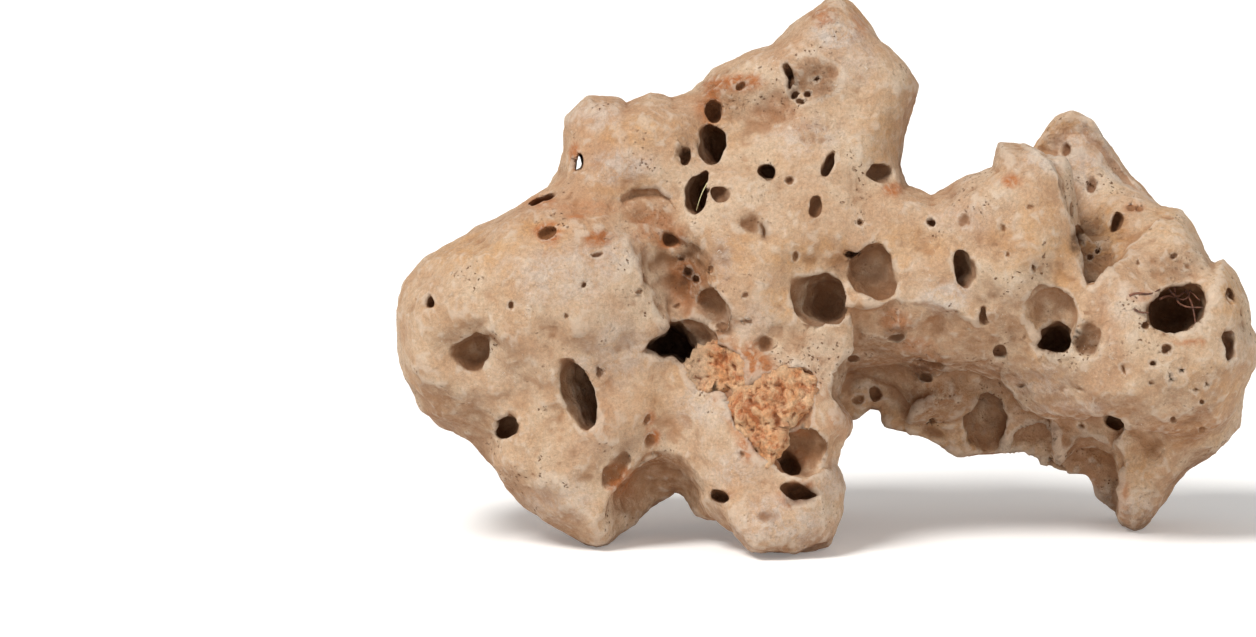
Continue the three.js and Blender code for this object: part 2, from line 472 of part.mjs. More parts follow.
function simplified(geometry, triangles) {
  const at = Array.from({ length: geometry.attributes.position.count }, (_, v) =>
    new THREE.Vector3().fromBufferAttribute(geometry.attributes.position, v),
  );
  const faces = [];
  for (let i = 0; i < geometry.index.count; i += 3) {
    const face = [0, 1, 2].map((c) => geometry.index.getX(i + c));
    if (new Set(face).size === 3) faces.push(face);
  }
  const around = at.map(() => new Set());
  faces.forEach((face, f) => face.forEach((v) => around[v].add(f)));

  const normalOf = (a, b, c) => b.clone().sub(a).cross(c.clone().sub(a));
  const miss = at.map(() => new Float64Array(MISS_TERMS));
  for (const face of faces) {
    const normal = normalOf(...face.map((v) => at[v]));
    const area = normal.length();
    if (area < NO_AREA) continue;
    normal.divideScalar(area);
    const d = -normal.dot(at[face[0]]);
    const row = [normal.x, normal.y, normal.z, d];
    const squares = row.flatMap((one, i) => row.slice(i).map((other) => area * one * other));
    for (const v of face) squares.forEach((square, k) => (miss[v][k] += square));
  }
  const missAt = (q, p) =>
    q[0] * p.x * p.x + 2 * q[1] * p.x * p.y + 2 * q[2] * p.x * p.z + 2 * q[3] * p.x
    + q[4] * p.y * p.y + 2 * q[5] * p.y * p.z + 2 * q[6] * p.y
    + q[7] * p.z * p.z + 2 * q[8] * p.z + q[9];

  const version = new Uint32Array(at.length);
  const solve = new THREE.Matrix3();
  function closing(a, b) {
    const q = miss[a].map((value, k) => value + miss[b][k]);
    const best = at[a].clone().add(at[b]).multiplyScalar(0.5);
    solve.set(q[0], q[1], q[2], q[1], q[4], q[5], q[2], q[5], q[7]);
    const size = q[0] + q[4] + q[7];
    if (Math.abs(solve.determinant()) > SOLVABLE * size ** 3) {
      const least = new THREE.Vector3(-q[3], -q[6], -q[8]).applyMatrix3(solve.invert());
      if (least.distanceTo(best) < at[a].distanceTo(at[b])) best.copy(least);
    }
    const stretch = LONG_EDGE_COST * at[a].distanceToSquared(at[b]);
    return { a, b, q, best, cost: missAt(q, best) + stretch, va: version[a], vb: version[b] };
  }

  // A heap with the cheapest edge on top.
  const heap = [];
  const swap = (i, j) => ([heap[i], heap[j]] = [heap[j], heap[i]]);
  function push(edge) {
    heap.push(edge);
    for (let i = heap.length - 1; i > 0; ) {
      const parent = (i - 1) >> 1;
      if (heap[parent].cost <= heap[i].cost) break;
      swap(i, parent);
      i = parent;
    }
  }
  function pop() {
    const top = heap[0];
    const last = heap.pop();
    if (heap.length) {
      heap[0] = last;
      for (let i = 0; ; ) {
        let least = i;
        for (const child of [2 * i + 1, 2 * i + 2])
          if (child < heap.length && heap[child].cost < heap[least].cost) least = child;
        if (least === i) break;
        swap(i, least);
        i = least;
      }
    }
    return top;
  }
  const neighbours = (v) => {
    const found = new Set();
    for (const f of around[v]) faces[f].forEach((w) => w !== v && found.add(w));
    return found;
  };
  for (const face of faces)
    for (const [a, b] of [[face[0], face[1]], [face[1], face[2]], [face[2], face[0]]])
      if (a < b) push(closing(a, b));

  const turnsOver = (v, other, best) => {
    for (const f of around[v]) {
      const face = faces[f];
      if (face.includes(other)) continue;
      const before = normalOf(...face.map((w) => at[w]));
      const after = normalOf(...face.map((w) => (w === v ? best : at[w])));
      if (before.dot(after) < LEAST_COSINE * before.length() * after.length()) return true;
    }
    return false;
  };

  let left = faces.length;
  while (left > triangles && heap.length) {
    const edge = pop();
    const { a, b, best, q } = edge;
    if (!around[a] || !around[b] || version[a] !== edge.va || version[b] !== edge.vb) continue;
    const near = neighbours(a);
    if (!near.has(b)) continue;
    const shared = [...neighbours(b)].filter((v) => near.has(v));
    if (shared.length !== 2 || turnsOver(a, b, best) || turnsOver(b, a, best)) continue;
    for (const f of [...around[b]]) {
      const face = faces[f];
      if (face.includes(a)) {
        face.forEach((v) => around[v].delete(f));
        faces[f] = null;
        left--;
      } else {
        face[face.indexOf(b)] = a;
        around[a].add(f);
      }
    }
    around[b] = null;
    at[a].copy(best);
    miss[a] = q;
    version[a]++;
    for (const v of neighbours(a)) push(closing(a, v));
  }

  const kept = faces.filter(Boolean);
  const places = new Float32Array(kept.flatMap((face) => face.flatMap((v) => at[v].toArray())));
  return new THREE.BufferGeometry().setAttribute('position', new THREE.BufferAttribute(places, 3));
}

// Boolean cuts
const wasm = await Module();
wasm.setup();

function bareOf(geometry) {
  const bare = new THREE.BufferGeometry().setAttribute('position', geometry.attributes.position);
  return bare.setIndex(geometry.index);
}

function solidOf(geometry) {
  const merged = mergeVertices(bareOf(geometry), MERGE_NEAR);
  return new wasm.Manifold(
    new wasm.Mesh({
      numProp: 3,
      vertProperties: merged.attributes.position.array,
      triVerts: new Uint32Array(merged.index.array),
    }),
  );
}

function geometryOf(solid) {
  const mesh = solid.getMesh();
  const geometry = new THREE.BufferGeometry()
    .setAttribute('position', new THREE.BufferAttribute(mesh.vertProperties, 3))
    .setIndex(new THREE.BufferAttribute(mesh.triVerts, 1));
  geometry.computeVertexNormals();
  return geometry;
}

// One bore's cutter: a lathed plug, pressed oval, turned about its way in and leaned. Its rings
// are given as shares of its depth, below zero outside the skin.
const PLUGS = {
  small: { sides: 8, rings: [-1, -0.3, 0.7, 1] },
  large: { sides: 14, rings: [-1, -0.3, 0.5, 0.85, 1] },
};
const LARGE_BORE = 4.5;
const PLUG_OUT = 4;
const STEEP = 0.9;

function plugOf(row) {
  const { at, way } = landing(row, stoneField);
  const out = PLUG_OUT + Math.max(...row.half);
  const { sides, rings } = Math.max(...row.half) > LARGE_BORE ? PLUGS.large : PLUGS.small;
  const profile = rings.map((ring) => {
    const radius = Math.abs(ring) === 1 ? 0 : Math.sqrt(1 - Math.abs(ring) ** row.blunt);
    return new THREE.Vector2(radius, ring * (ring < 0 ? out : row.deep));
  });
  const right = new THREE.Vector3().crossVectors(way, Math.abs(way.z) > STEEP ? ahead : up).normalize();
  const rise = new THREE.Vector3().crossVectors(right, way);
  const leaned = way
    .clone()
    .addScaledVector(right, Math.tan(THREE.MathUtils.degToRad(row.lean[0])))
    .addScaledVector(rise, Math.tan(THREE.MathUtils.degToRad(row.lean[1])))
    .normalize();
  const side = right.clone().addScaledVector(leaned, -right.dot(leaned)).normalize();
  const top = new THREE.Vector3().crossVectors(side, leaned);
  const turn = THREE.MathUtils.degToRad(row.turn);
  const across = side.clone().multiplyScalar(Math.cos(turn)).addScaledVector(top, Math.sin(turn));
  const along = top.clone().multiplyScalar(Math.cos(turn)).addScaledVector(side, -Math.sin(turn));
  const place = new THREE.Matrix4().makeBasis(across, leaned, along).setPosition(at);
  return new THREE.LatheGeometry(profile, sides).scale(row.half[0], 1, row.half[1]).applyMatrix4(place);
}

// One piece of red earth, its clods joined, each clod a knobbly ball. The stone gives way to the
// same piece grown by the gap that it keeps.
const CLOD_DETAIL = 1;
const CLOD_KNOB = 1.3;
const CLOD_WAVES = new THREE.Vector3(5, 5, 6);

function clodOf(row, grown) {
  const ball = mergeVertices(bareOf(new THREE.IcosahedronGeometry(1, CLOD_DETAIL)), MERGE_NEAR);
  const places = ball.attributes.position;
  const p = new THREE.Vector3();
  for (let v = 0; v < places.count; v++) {
    p.fromBufferAttribute(places, v);
    const wave = p.clone().multiply(CLOD_WAVES).add(row.at);
    const knob = Math.sin(wave.x) * Math.sin(wave.y) * Math.sin(wave.z);
    const reach = p.clone().multiply(new THREE.Vector3(...row.half));
    reach.addScaledVector(p, CLOD_KNOB * knob + grown);
    const right = reach.x * row.cos - reach.z * row.sin;
    const high = reach.x * row.sin + reach.z * row.cos;
    places.setXYZ(v, right, reach.y, high);
  }
  return solidOf(ball.translate(row.at.x, row.at.y, row.at.z));
}

function earthOf(rows, grown) {
  return rows.map((row) => clodOf(row, grown)).reduce((whole, clod) => whole.add(clod));
}

const earth = Object.entries(EARTH).map(([name, rows]) => ({ name, rows: prepared(rows, stoneField) }));

// What lies below the ground is cut off, so that the feet are flat.
const GROUND_SIZE = [400, 200, 40];
const ground = new THREE.BoxGeometry(...GROUND_SIZE).translate(0, 0, -GROUND_SIZE[2] / 2);

let stone = solidOf(simplified(skinOf(stoneField), SKIN_TRIANGLES));
for (const row of Object.values(BORES)) stone = stone.subtract(solidOf(plugOf(row)));
stone = solidOf(simplified(geometryOf(stone), STONE_TRIANGLES)).subtract(solidOf(ground));
for (const { rows } of earth) stone = stone.subtract(earthOf(rows, SEAT_GAP));

function pieceOf(name, solid, colour, roughness) {
  const piece = new THREE.Mesh(
    geometryOf(solid),
    new THREE.MeshStandardMaterial({ color: colour, roughness, metalness: 0 }),
  );
  piece.name = name;
  return piece;
}

// The part at its real length, with the middle of its box over the origin.
const part = new THREE.Group();
part.add(pieceOf('holey_rock', stone, STONE_COLOUR, STONE_ROUGHNESS));
for (const { name, rows } of earth)
  part.add(pieceOf(name, earthOf(rows, 0), EARTH_COLOUR, EARTH_ROUGHNESS));
const drawn = new THREE.Box3().setFromObject(part);
const middle = drawn.getCenter(new THREE.Vector3());
const scale = LENGTH / (drawn.max.x - drawn.min.x);
part.scale.setScalar(scale);
part.position.set(-middle.x, -middle.y, 0).multiplyScalar(scale);

export default part;
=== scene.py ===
"""Looks of the holey rock: one loose piece of water-worn limestone with red earth in its hollows.

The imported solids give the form. The stone and its two earth pieces are drawn again here from
the same named masses, hollows, steps and bores, finely enough for their edges, grain and pits,
and are dressed with node materials. Everything is in metres in the frame's axes, except where
a name or a docstring says millimetres.
"""

from __future__ import annotations

import itertools
import logging
import math
from collections.abc import Callable
from dataclasses import dataclass
from enum import Enum

import bmesh
import bpy
import numpy as np
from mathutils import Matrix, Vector

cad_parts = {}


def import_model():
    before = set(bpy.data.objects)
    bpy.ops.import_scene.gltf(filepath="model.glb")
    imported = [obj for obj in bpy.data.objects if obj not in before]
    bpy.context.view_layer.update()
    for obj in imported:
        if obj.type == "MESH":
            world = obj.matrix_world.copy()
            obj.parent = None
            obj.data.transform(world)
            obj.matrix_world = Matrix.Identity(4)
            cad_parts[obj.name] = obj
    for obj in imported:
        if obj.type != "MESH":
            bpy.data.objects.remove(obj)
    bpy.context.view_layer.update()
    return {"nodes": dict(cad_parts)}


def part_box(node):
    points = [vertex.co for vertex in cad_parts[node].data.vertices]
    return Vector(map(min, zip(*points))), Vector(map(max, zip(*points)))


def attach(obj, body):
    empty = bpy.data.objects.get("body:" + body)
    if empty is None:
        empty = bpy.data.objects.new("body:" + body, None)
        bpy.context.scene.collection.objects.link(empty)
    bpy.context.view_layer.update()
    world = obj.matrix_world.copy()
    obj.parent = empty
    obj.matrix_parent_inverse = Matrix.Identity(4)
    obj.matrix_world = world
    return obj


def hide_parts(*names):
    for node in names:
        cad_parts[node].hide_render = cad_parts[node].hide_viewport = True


LOG = logging.getLogger("holey_rock")

# A Shade is a colour as a picture shows it, from 0 to 255, and a Colour is the linear one that
# shaders take. A Value is what a shader's socket can be given.
Socket = bpy.types.NodeSocket
Shade = tuple[int, int, int]
Colour = tuple[float, float, float, float]
Value = Socket | float | Colour
Line = tuple[tuple[float, float, float], ...]
Field = Callable[[np.ndarray], np.ndarray]
WornField = Callable[[np.ndarray, np.ndarray], np.ndarray]

# The part's source draws the stone in millimetres, then brings it to its real length.
# A point in the frame is (drawn point * PART_SCALE + PART_SHIFT) millimetres.
PART_SCALE = 0.99927
PART_SHIFT = (-0.588, -1.023, 0.0)
MM = 0.001

# In metres: how near corners are merged, and how far inside the solid's box the skin stays.
MERGE_NEAR = 1e-6
BOX_SPARE = 2e-6

# Roundings in drawn millimetres: of the seams between masses, of the outline's trim, which lies
# RIM_SPARE outside the outline, of the source's sharp edges and the finished skin's, and of worn
# and soft edges.
LUMP_BLEND = 15.0
RIM_BLEND = 12.0
RIM_SPARE = 1.0
SOURCE_SHARP = 2.5
CRISP = 0.9
WORN = 5.0
SOFT = 9.0

# How many passes move the finished skin onto its field.
SETTLING_PASSES = 4

# What slopes and lengths are kept above before anything is divided by them.
NEAR_ZERO = 1e-9
LEAST_SLOPE = 1e-6

GRAIN_SEED = 7


class Side(Enum):
    """The side of the stone on which a feature's place is read."""

    FRONT = "front"
    BACK = "back"
    TOP = "top"
    UNDER = "under"
    LEFT = "left"
    RIGHT = "right"


@dataclass(frozen=True)
class Ball:
    """A mass of the stone: middle, half sizes and lean in the front view, in mm and degrees."""

    at: tuple[float, float, float]
    half: tuple[float, float, float]
    lean: float


@dataclass(frozen=True)
class Scoop:
    """A hollow.

    Where it is seen, how far it sinks there, its half sizes, lean and edge blend, and its side.
    """

    seen: tuple[float, float]
    sink: float
    half: tuple[float, float, float]
    lean: float
    blend: float | None = None
    side: Side = Side.FRONT


@dataclass(frozen=True)
class Step:
    """A sheet of stone that has gone, in the front view.

    Its edge, its thickness at the first point of the edge, how fast that fades to the right and
    up, in shares per mm, how far back the sheet reached there, how much further it reached per
    mm lower, and its edge blend.
    """

    edge: tuple[tuple[float, float], ...]
    sink: float
    fade: tuple[float, float]
    back: float
    tilt: float = 0.0
    blend: float | None = None


@dataclass(frozen=True)
class Bore:
    """A hole or pit.

    Its mouth, half sizes, depth, turn, the lean of its way, how blunt its end is, and its side.
    """

    seen: tuple[float, float]
    half: tuple[float, float]
    deep: float
    turn: float = 0.0
    lean: tuple[float, float] = (0.0, 0.0)
    blunt: float = 3.0
    side: Side = Side.FRONT


# The stone's outline in the front view, clockwise from the left end, in drawn millimetres.
OUTLINE: tuple[tuple[float, float], ...] = (
    (-149.8, 84), (-146.5, 94), (-140, 103), (-125, 110), (-112, 120), (-98, 128), (-92, 133), (-90, 141),
    (-90, 152), (-84, 160), (-78, 160), (-73, 159), (-70, 156), (-62, 160), (-54, 158), (-42, 164),
    (-39, 168), (-25, 175), (-18, 177), (-10, 186), (-3, 191), (1, 194), (5, 194), (9, 190),
    (17, 180), (26, 171), (32, 163), (29, 157), (26, 146), (25, 136), (28, 128), (37, 124),
    (47, 130), (55, 132), (60, 134), (61, 143), (68, 141), (72, 145), (80, 153), (86, 155),
    (92, 151), (99, 141), (106, 131), (117, 121), (124, 119), (128, 114), (131, 106), (135, 100),
    (139, 102), (144, 96), (147, 88), (147, 80), (150.5, 74), (150, 66), (145, 58), (143, 46),
    (136, 36), (125, 29), (119, 20), (113, 11), (108, 7), (100, 14), (94, 19), (91, 26),
    (81, 26), (73, 34), (64, 37), (56, 35), (48, 35), (40, 38), (31, 43), (21, 45),
    (20, 51), (15, 52), (12, 49), (9, 44), (4, 37), (2, 31), (7, 22), (5, 12),
    (1, 3), (-11, -0.5), (-26, 0.5), (-32, 8), (-39, 11.5), (-48, 13), (-50, 20), (-53, 22),
    (-58, 17), (-65, 9), (-72, 7), (-80, 2.5), (-90, 7), (-98, 13), (-107, 17.5), (-117, 24),
    (-129, 36), (-141, 50), (-147.5, 66),
)

# The masses that the stone is grown together from.
LUMPS: dict[str, Ball] = {
    "left boulder": Ball((-95, -10, 86), (58, 40, 38), 22),
    "left end": Ball((-128, -2, 74), (32, 34, 40), 0),
    "left leg": Ball((-82, -12, 42), (36, 32, 46), -8),
    "left foot": Ball((-82, -22, 10), (18, 14, 18), 0),
    "leg web": Ball((-50, -2, 38), (32, 28, 28), 0),
    "heart": Ball((-22, -2, 94), (70, 42, 52), 0),
    "shoulder": Ball((-68, 4, 134), (38, 28, 30), 8),
    "peak": Ball((-2, 8, 146), (42, 32, 46), 0),
    "peak tip": Ball((2, 10, 180), (16, 14, 18), 0),
    "peak shoulder": Ball((-34, 10, 158), (26, 20, 22), 20),
    "bridge": Ball((46, -4, 92), (52, 34, 38), 0),
    "front lobe": Ball((66, -18, 114), (26, 24, 38), 0),
    "right block": Ball((110, -10, 72), (50, 36, 38), 0),
    "horn": Ball((94, 26, 122), (25, 20, 36), 0),
    "right slope": Ball((118, 14, 94), (36, 30, 32), -30),
    "right under": Ball((132, 16, 38), (32, 24, 34), 0),
    "right spike": Ball((107, 13, 24), (20, 22, 38), 0),
    "under wall": Ball((60, 16, 46), (64, 24, 30), -6),
    "middle leg": Ball((-16, -26, 36), (34, 26, 38), 0),
    "middle foot": Ball((-17, -36, 8), (24, 18, 18), 0),
    "foot fin": Ball((-42, -19, 21.5), (14, 10, 13), 0),
    "back foot": Ball((-14, 38, 24), (20, 18, 34), 0),
    "back": Ball((0, 22, 86), (92, 28, 42), 0),
    "back shoulder": Ball((-46, 36, 112), (32, 20, 26), -20),
    "back ridge": Ball((70, 38, 66), (34, 20, 20), 15),
    "back knob": Ball((-94, 32, 60), (26, 20, 24), 0),
    "back crown": Ball((10, 26, 150), (22, 20, 26), 0),
}

# The large hollows that water has taken out of it.
SCOOPS: dict[str, Scoop] = {
    "valley top": Scoop((-62, 122), -2, (10, 7, 9), 0, SOFT),
    "valley": Scoop((-54, 100), 0, (10, 11, 24), 23, WORN),
    "valley edge": Scoop((-52, 90), 2, (8, 10, 14), 15),
    "cavity lip": Scoop((-46, 75), 1, (8, 11, 6), -20),
    "valley cup": Scoop((-41, 85), 2.5, (6.6, 8, 6.4), 0),
    "earth hollow": Scoop((-19, 51), -1, (14, 9, 12), -20),
    "small earth hollow": Scoop((-37, 65), -1, (9, 7, 7), -10),
    "leg hollow": Scoop((-9, 35), 1, (9, 10, 7.5), -15),
    "notch hollow": Scoop((13.5, 60), 2, (12.8, 17, 11), 10),
    "notch mouth": Scoop((15, 49), 0, (8, 24, 9), 0),
    "door hollow": Scoop((-6, 98), -4, (13, 8, 9), 35, SOFT),
    "bowl side": Scoop((8, 98), -1, (8, 6.5, 8), 0, WORN),
    "brow scallop": Scoop((38.5, 75.5), 0, (6, 6.5, 8), 0, WORN),
    "block bowl": Scoop((78.5, 83), 1, (9.5, 8, 10), 0),
    "lobe recess": Scoop((97, 107), 3, (8, 10, 16), -38),
    "dark funnel": Scoop((121, 101), -4, (14, 8, 9), -35, SOFT),
    "spike scallop": Scoop((93, 31), 1, (9.5, 12, 11), 15),
    "spike face": Scoop((108, 38), -3, (9, 7, 11), 0, SOFT),
    "wall scallop": Scoop((72.5, 36.5), 15, (8.3, 8, 11), 0),
    "wall hollow": Scoop((57, 40), -1, (8, 7, 15), 0, WORN),
    "leg side": Scoop((-60, 18), -6, (15, 18, 13), 30, SOFT),
    "peak pocket": Scoop((-5, 167), -2, (10, 5, 9), -10),
    "peak hollow": Scoop((-22, 155), -2, (8, 4.5, 5.5), 15, SOFT),
    "back hollow": Scoop((56, 92), -5, (26, 18, 20), 20, side=Side.BACK),
    "back bowl": Scoop((-66, 106), -4, (24, 15, 17), -15, SOFT, side=Side.BACK),
    "back valley": Scoop((-30, 56), -2, (28, 14, 11), 14, side=Side.BACK),
    "back nook": Scoop((-112, 66), -2, (12, 10, 12), 0, side=Side.BACK),
    "back dish": Scoop((112, 84), -3, (15, 9, 12), -20, SOFT, side=Side.BACK),
    "back peak": Scoop((8, 140), -3, (13, 9, 17), 15, SOFT, side=Side.BACK),
    "end dish": Scoop((-128, 66), -3, (13, 8, 11), 10, SOFT),
    "top dish": Scoop((-112, 8), -3, (14, 11, 8), 20, SOFT, side=Side.TOP),
    "top cup": Scoop((-56, 14), -2, (11, 9, 8), 0, side=Side.TOP),
}

# The steps in its skin, where a sheet of the stone has gone.
STEPS: dict[str, Step] = {
    "under arm": Step(
        edge=(
            (60, 60.8), (64.3, 56.7), (69.9, 50.2), (79.2, 47.4), (80.5, 41), (80.5, 30), (84, 33),
            (89, 37), (96, 38), (101, 35), (102.5, 25), (103, 8), (94, 2), (50, 16), (24, 38), (30, 52),
            (36, 58), (42, 63.5), (50, 65),
        ),
        sink=17, fade=(-0.028, 0), back=5, tilt=0.4,
    ),
    "arm rib": Step(
        edge=(
            (77, 47.8), (88.5, 47.4), (98, 49.3), (104, 47.5), (104.5, 44), (101, 41), (98, 36),
            (89, 34), (79, 28),
        ),
        sink=8, fade=(0, 0), back=0,
    ),
    "cavity": Step(
        edge=(
            (-64.5, 71.2), (-61, 74), (-57, 76.6), (-55, 80.4), (-51.4, 80.6), (-49.4, 77.1),
            (-47.8, 74), (-44.5, 71), (-46, 67.4), (-48.3, 65.6), (-50.4, 66.3), (-53.9, 69),
            (-58.6, 68.6),
        ),
        sink=22, fade=(0, 0), back=0,
    ),
    "cavity slope": Step(
        edge=(
            (-50.5, 77.5), (-46, 76.6), (-42, 75.2), (-38.5, 72.5), (-37.5, 69.5), (-41, 68.6),
            (-45.5, 68.6), (-48.9, 72),
        ),
        sink=16, fade=(0.08, 0), back=0,
    ),
    "boulder edge": Step(
        edge=(
            (-61, 97.6), (-58, 93), (-55.5, 87), (-54.8, 80), (-50, 78), (-42, 84), (-40, 92),
            (-44, 102), (-52, 104),
        ),
        sink=8, fade=(0.04, 0), back=0,
    ),
    "valley brow": Step(
        edge=(
            (-63, 127.8), (-58.6, 127.2), (-54.6, 124.3), (-52.6, 121), (-51.5, 108), (-56, 106.5),
            (-61, 112), (-67, 118), (-72, 123), (-68, 127),
        ),
        sink=5, fade=(-0.01, -0.05), back=0,
    ),
    "lobe edge": Step(
        edge=(
            (91.8, 93.4), (95, 93.4), (99.6, 101), (107.9, 109.3), (116, 117), (126, 128), (110, 150),
            (90, 165), (72, 158), (66, 148), (70.9, 142.2), (78.8, 138.2), (83, 131), (84.6, 119),
            (87.2, 108.5), (90.3, 100.5),
        ),
        sink=7, fade=(0.03, 0.008), back=20,
    ),
    "bridge brow": Step(
        edge=(
            (24, 38), (12, 44), (3, 54), (8, 64), (10, 71), (9.5, 79), (8, 85.4), (17.5, 84.8),
            (29, 86.8), (38.2, 84.6), (46.9, 81.6), (57.4, 76.3), (62, 67.6), (60, 60.8), (50, 65),
            (42, 63.5), (36, 58), (30, 52),
        ),
        sink=13.8, fade=(0.0118, 0.019), back=12, blend=WORN,
    ),
    "slab edge": Step(
        edge=(
            (-48.3, 65.1), (-44.5, 58.1), (-35.7, 55.7), (-33.6, 51.1), (-28.7, 43.1), (-21.7, 35.4),
            (-14.7, 28.4), (-7, 27.7), (1, 30.1), (4, 40), (0, 54), (-12, 66), (-26, 70), (-38, 74),
        ),
        sink=4, fade=(0.052, 0.047), back=0,
    ),
}

# The holes and pits that the solid has too.
BORES: dict[str, Bore] = {
    "edge window": Bore((-86.4, 136.6), (1.7, 3.8), 60, -5, (0, 0), 6),
    "edge slot": Bore((-99.7, 124), (4.4, 2.6), 10, 22, (0, -20), 4),
    "left slot": Bore((-87, 55), (5, 11.5), 26, 12, (25, 0), 4),
    "deep hole": Bore((-40.7, 143.5), (4.2, 7.4), 22, 8, (10, -5), 4),
    "deep hole top": Bore((-39, 155), (2.4, 3.2), 8, 0, (0, -20), 4),
    "tall hole": Bore((-45.3, 125.5), (3.9, 7.4), 24, -10, (12, 0), 4),
    "round pit": Bore((-37, 125.5), (2.7, 2.8), 6, 0, (-20, 0), 4),
    "twin pit": Bore((-49.5, 139), (2, 3), 6),
    "round hole": Bore((-20.2, 134.3), (3, 3), 16, 0, (5, -5), 5),
    "slit": Bore((0.9, 136), (1.9, 4.8), 8, -22),
    "oval pit": Bore((19.9, 132.8), (4.8, 3), 8, -15, (-15, 10), 3),
    "bean": Bore((-3.9, 121.5), (2.2, 3.3), 5, -10),
    "pocket slit": Bore((-12.5, 168), (1.6, 3.6), 7, 15, (0, 0), 4),
    "door": Bore((-0.8, 89.2), (8, 9), 18, 0, (6, -4), 4),
    "door side": Bore((-4.4, 88.8), (7.6, 8.6), 8, 0, (0, 0), 2),
    "bowl": Bore((17.4, 98), (8.4, 10), 10, 0, (-25, 10), 2),
    "bowl hole": Bore((8.4, 104.6), (3, 1.5), 9, -20, (10, 10), 4),
    "oval deep": Bore((48.6, 99.8), (3.3, 6.6), 16, 8, (-15, 0), 4),
    "wall pit": Bore((54.5, 83), (2, 2.8), 5),
    "block hole": Bore((79.9, 74.6), (6.3, 5.4), 24, 0, (0, -8), 5),
    "block dish": Bore((90.8, 74), (5.3, 6.2), 4, 10, (0, 0), 2),
    "block pit": Bore((61.2, 70.3), (2.2, 2.7), 5),
    "dark hole": Bore((123.9, 86.1), (10, 9), 28, 15, (-6, -4), 4),
    "dark hole edge": Bore((117, 84), (4, 5), 18, 30, (0, 0), 4),
    "end slot": Bore((140.5, 72.8), (3.2, 6.3), 7, 14, (-30, 0), 3),
    "end pit": Bore((142, 90.5), (1.8, 2.4), 5, 0, (-20, 0), 3),
    "horn slot": Bore((101.3, 116), (2, 3.6), 8, -25, (0, 0), 4),
    "recess slot": Bore((87, 110.5), (1.8, 4), 10, 0, (15, 0), 4),
    "crumbly pit": Bore((35.4, 65.5), (5.7, 4.8), 7, -20),
    "under pit": Bore((37.3, 46), (2, 2), 5),
    "under hole": Bore((56.4, 53.2), (1.8, 1.6), 6, 0, (0, 0), 4),
    "ledge hole": Bore((101, 46.6), (3.4, 3), 9, -20, (0, 0), 4),
    "hollow dark": Bore((-13, 31.5), (4, 4.2), 10, 0, (-15, -15), 4),
    "foot pit": Bore((-9, 21), (6, 3.8), 9, -8, (0, -15), 4),
    "foot hole": Bore((-37.3, 20), (3.2, 2), 8, -10, (0, 0), 4),
    "valley dark": Bore((-54.6, 110), (3.4, 2.6), 4.5, -20),
    "leg red": Bore((-73.6, 26.2), (3.4, 6), 2, -12, (0, 0), 2),
    "end bowl": Bore((-124, 70), (7, 6), 8, 20, (0, 0), 2),
    "end hole": Bore((-112, 45), (4, 5.2), 14, -20, (0, 0), 4),
    "end pin": Bore((-139, 88), (2.4, 2.8), 6, 0, (20, 0), 3),
    "back cave": Bore((50, 90), (9, 7.5), 22, 15, (10, 0), 4, side=Side.BACK),
    "back eye": Bore((-32, 118), (5.2, 6.4), 16, -20, (0, 0), 4, side=Side.BACK),
    "back door": Bore((-78, 100), (7, 6), 20, 20, (0, -10), 4, side=Side.BACK),
    "back pot": Bore((98, 60), (6, 8), 18, -15, side=Side.BACK),
    "back peak hole": Bore((4, 146), (3.6, 4.6), 10, 10, (0, 0), 4, side=Side.BACK),
    "back low": Bore((-46, 54), (6.4, 4.6), 16, -10, (15, 0), 4, side=Side.BACK),
    "back small": Bore((-4, 92), (4.8, 4), 12, 0, (-10, 0), 4, side=Side.BACK),
    "back pin": Bore((18, 116), (2.6, 2.8), 7, side=Side.BACK),
    "back end": Bore((-116, 62), (3.6, 4.4), 12, 30, (0, 0), 4, side=Side.BACK),
    "back foot pit": Bore((-16, 30), (3.6, 3), 7, side=Side.BACK),
    "back right": Bore((122, 90), (3.2, 3.8), 9, side=Side.BACK),
    "top hole": Bore((-58, 14), (4.6, 3.6), 16, 20, (0, 0), 4, side=Side.TOP),
    "top pot": Bore((-108, 6), (5.4, 4.4), 14, -15, side=Side.TOP),
    "saddle pot": Bore((46, 12), (6.4, 4.8), 13, 10, side=Side.TOP),
    "slope hole": Bore((120, 16), (4, 4.8), 12, 0, (10, 0), 4, side=Side.TOP),
    "ridge pit": Bore((-26, 16), (3, 2.6), 7, side=Side.TOP),
    "arch roof": Bore((56, 12), (7.4, 6), 16, 15, side=Side.UNDER),
    "arch pit": Bore((82, 20), (3.6, 3.2), 8, side=Side.UNDER),
    "belly pot": Bore((-48, 12), (6.6, 5.6), 14, -10, side=Side.UNDER),
    "leg under": Bore((-112, 0), (5, 4.2), 11, side=Side.UNDER),
    "left eye": Bore((-8, 84), (6, 7), 18, 10, (0, 0), 4, side=Side.LEFT),
    "left pit": Bore((14, 62), (3.4, 4), 8, side=Side.LEFT),
    "right pot": Bore((14, 62), (6, 5), 14, side=Side.RIGHT),
    "right pit": Bore((-6, 48), (3, 3.8), 8, side=Side.RIGHT),
}

# The red earth that has set hard in two of the hollows, as clods that have run together.
EARTH: dict[str, dict[str, Scoop]] = {
    "red_earth_large": {
        "upper mass": Scoop((-15.4, 55), -1, (9.5, 6, 7.5), -10),
        "lower mass": Scoop((-24.9, 48.3), -1, (8, 6, 8), 0),
        "foot of it": Scoop((-20.6, 38.8), 0, (5, 5, 6), 10),
        "right knob": Scoop((-8.6, 59.7), 0, (5, 4.5, 5), 0),
    },
    "red_earth_small": {
        "right mass": Scoop((-34.4, 67.4), -1, (7.5, 5, 5.5), -15),
        "left mass": Scoop((-42, 63.6), -1, (6.5, 5, 5), 0),
        "lower knob": Scoop((-31.5, 61.6), 0, (4.5, 4, 4), 0),
    },
}

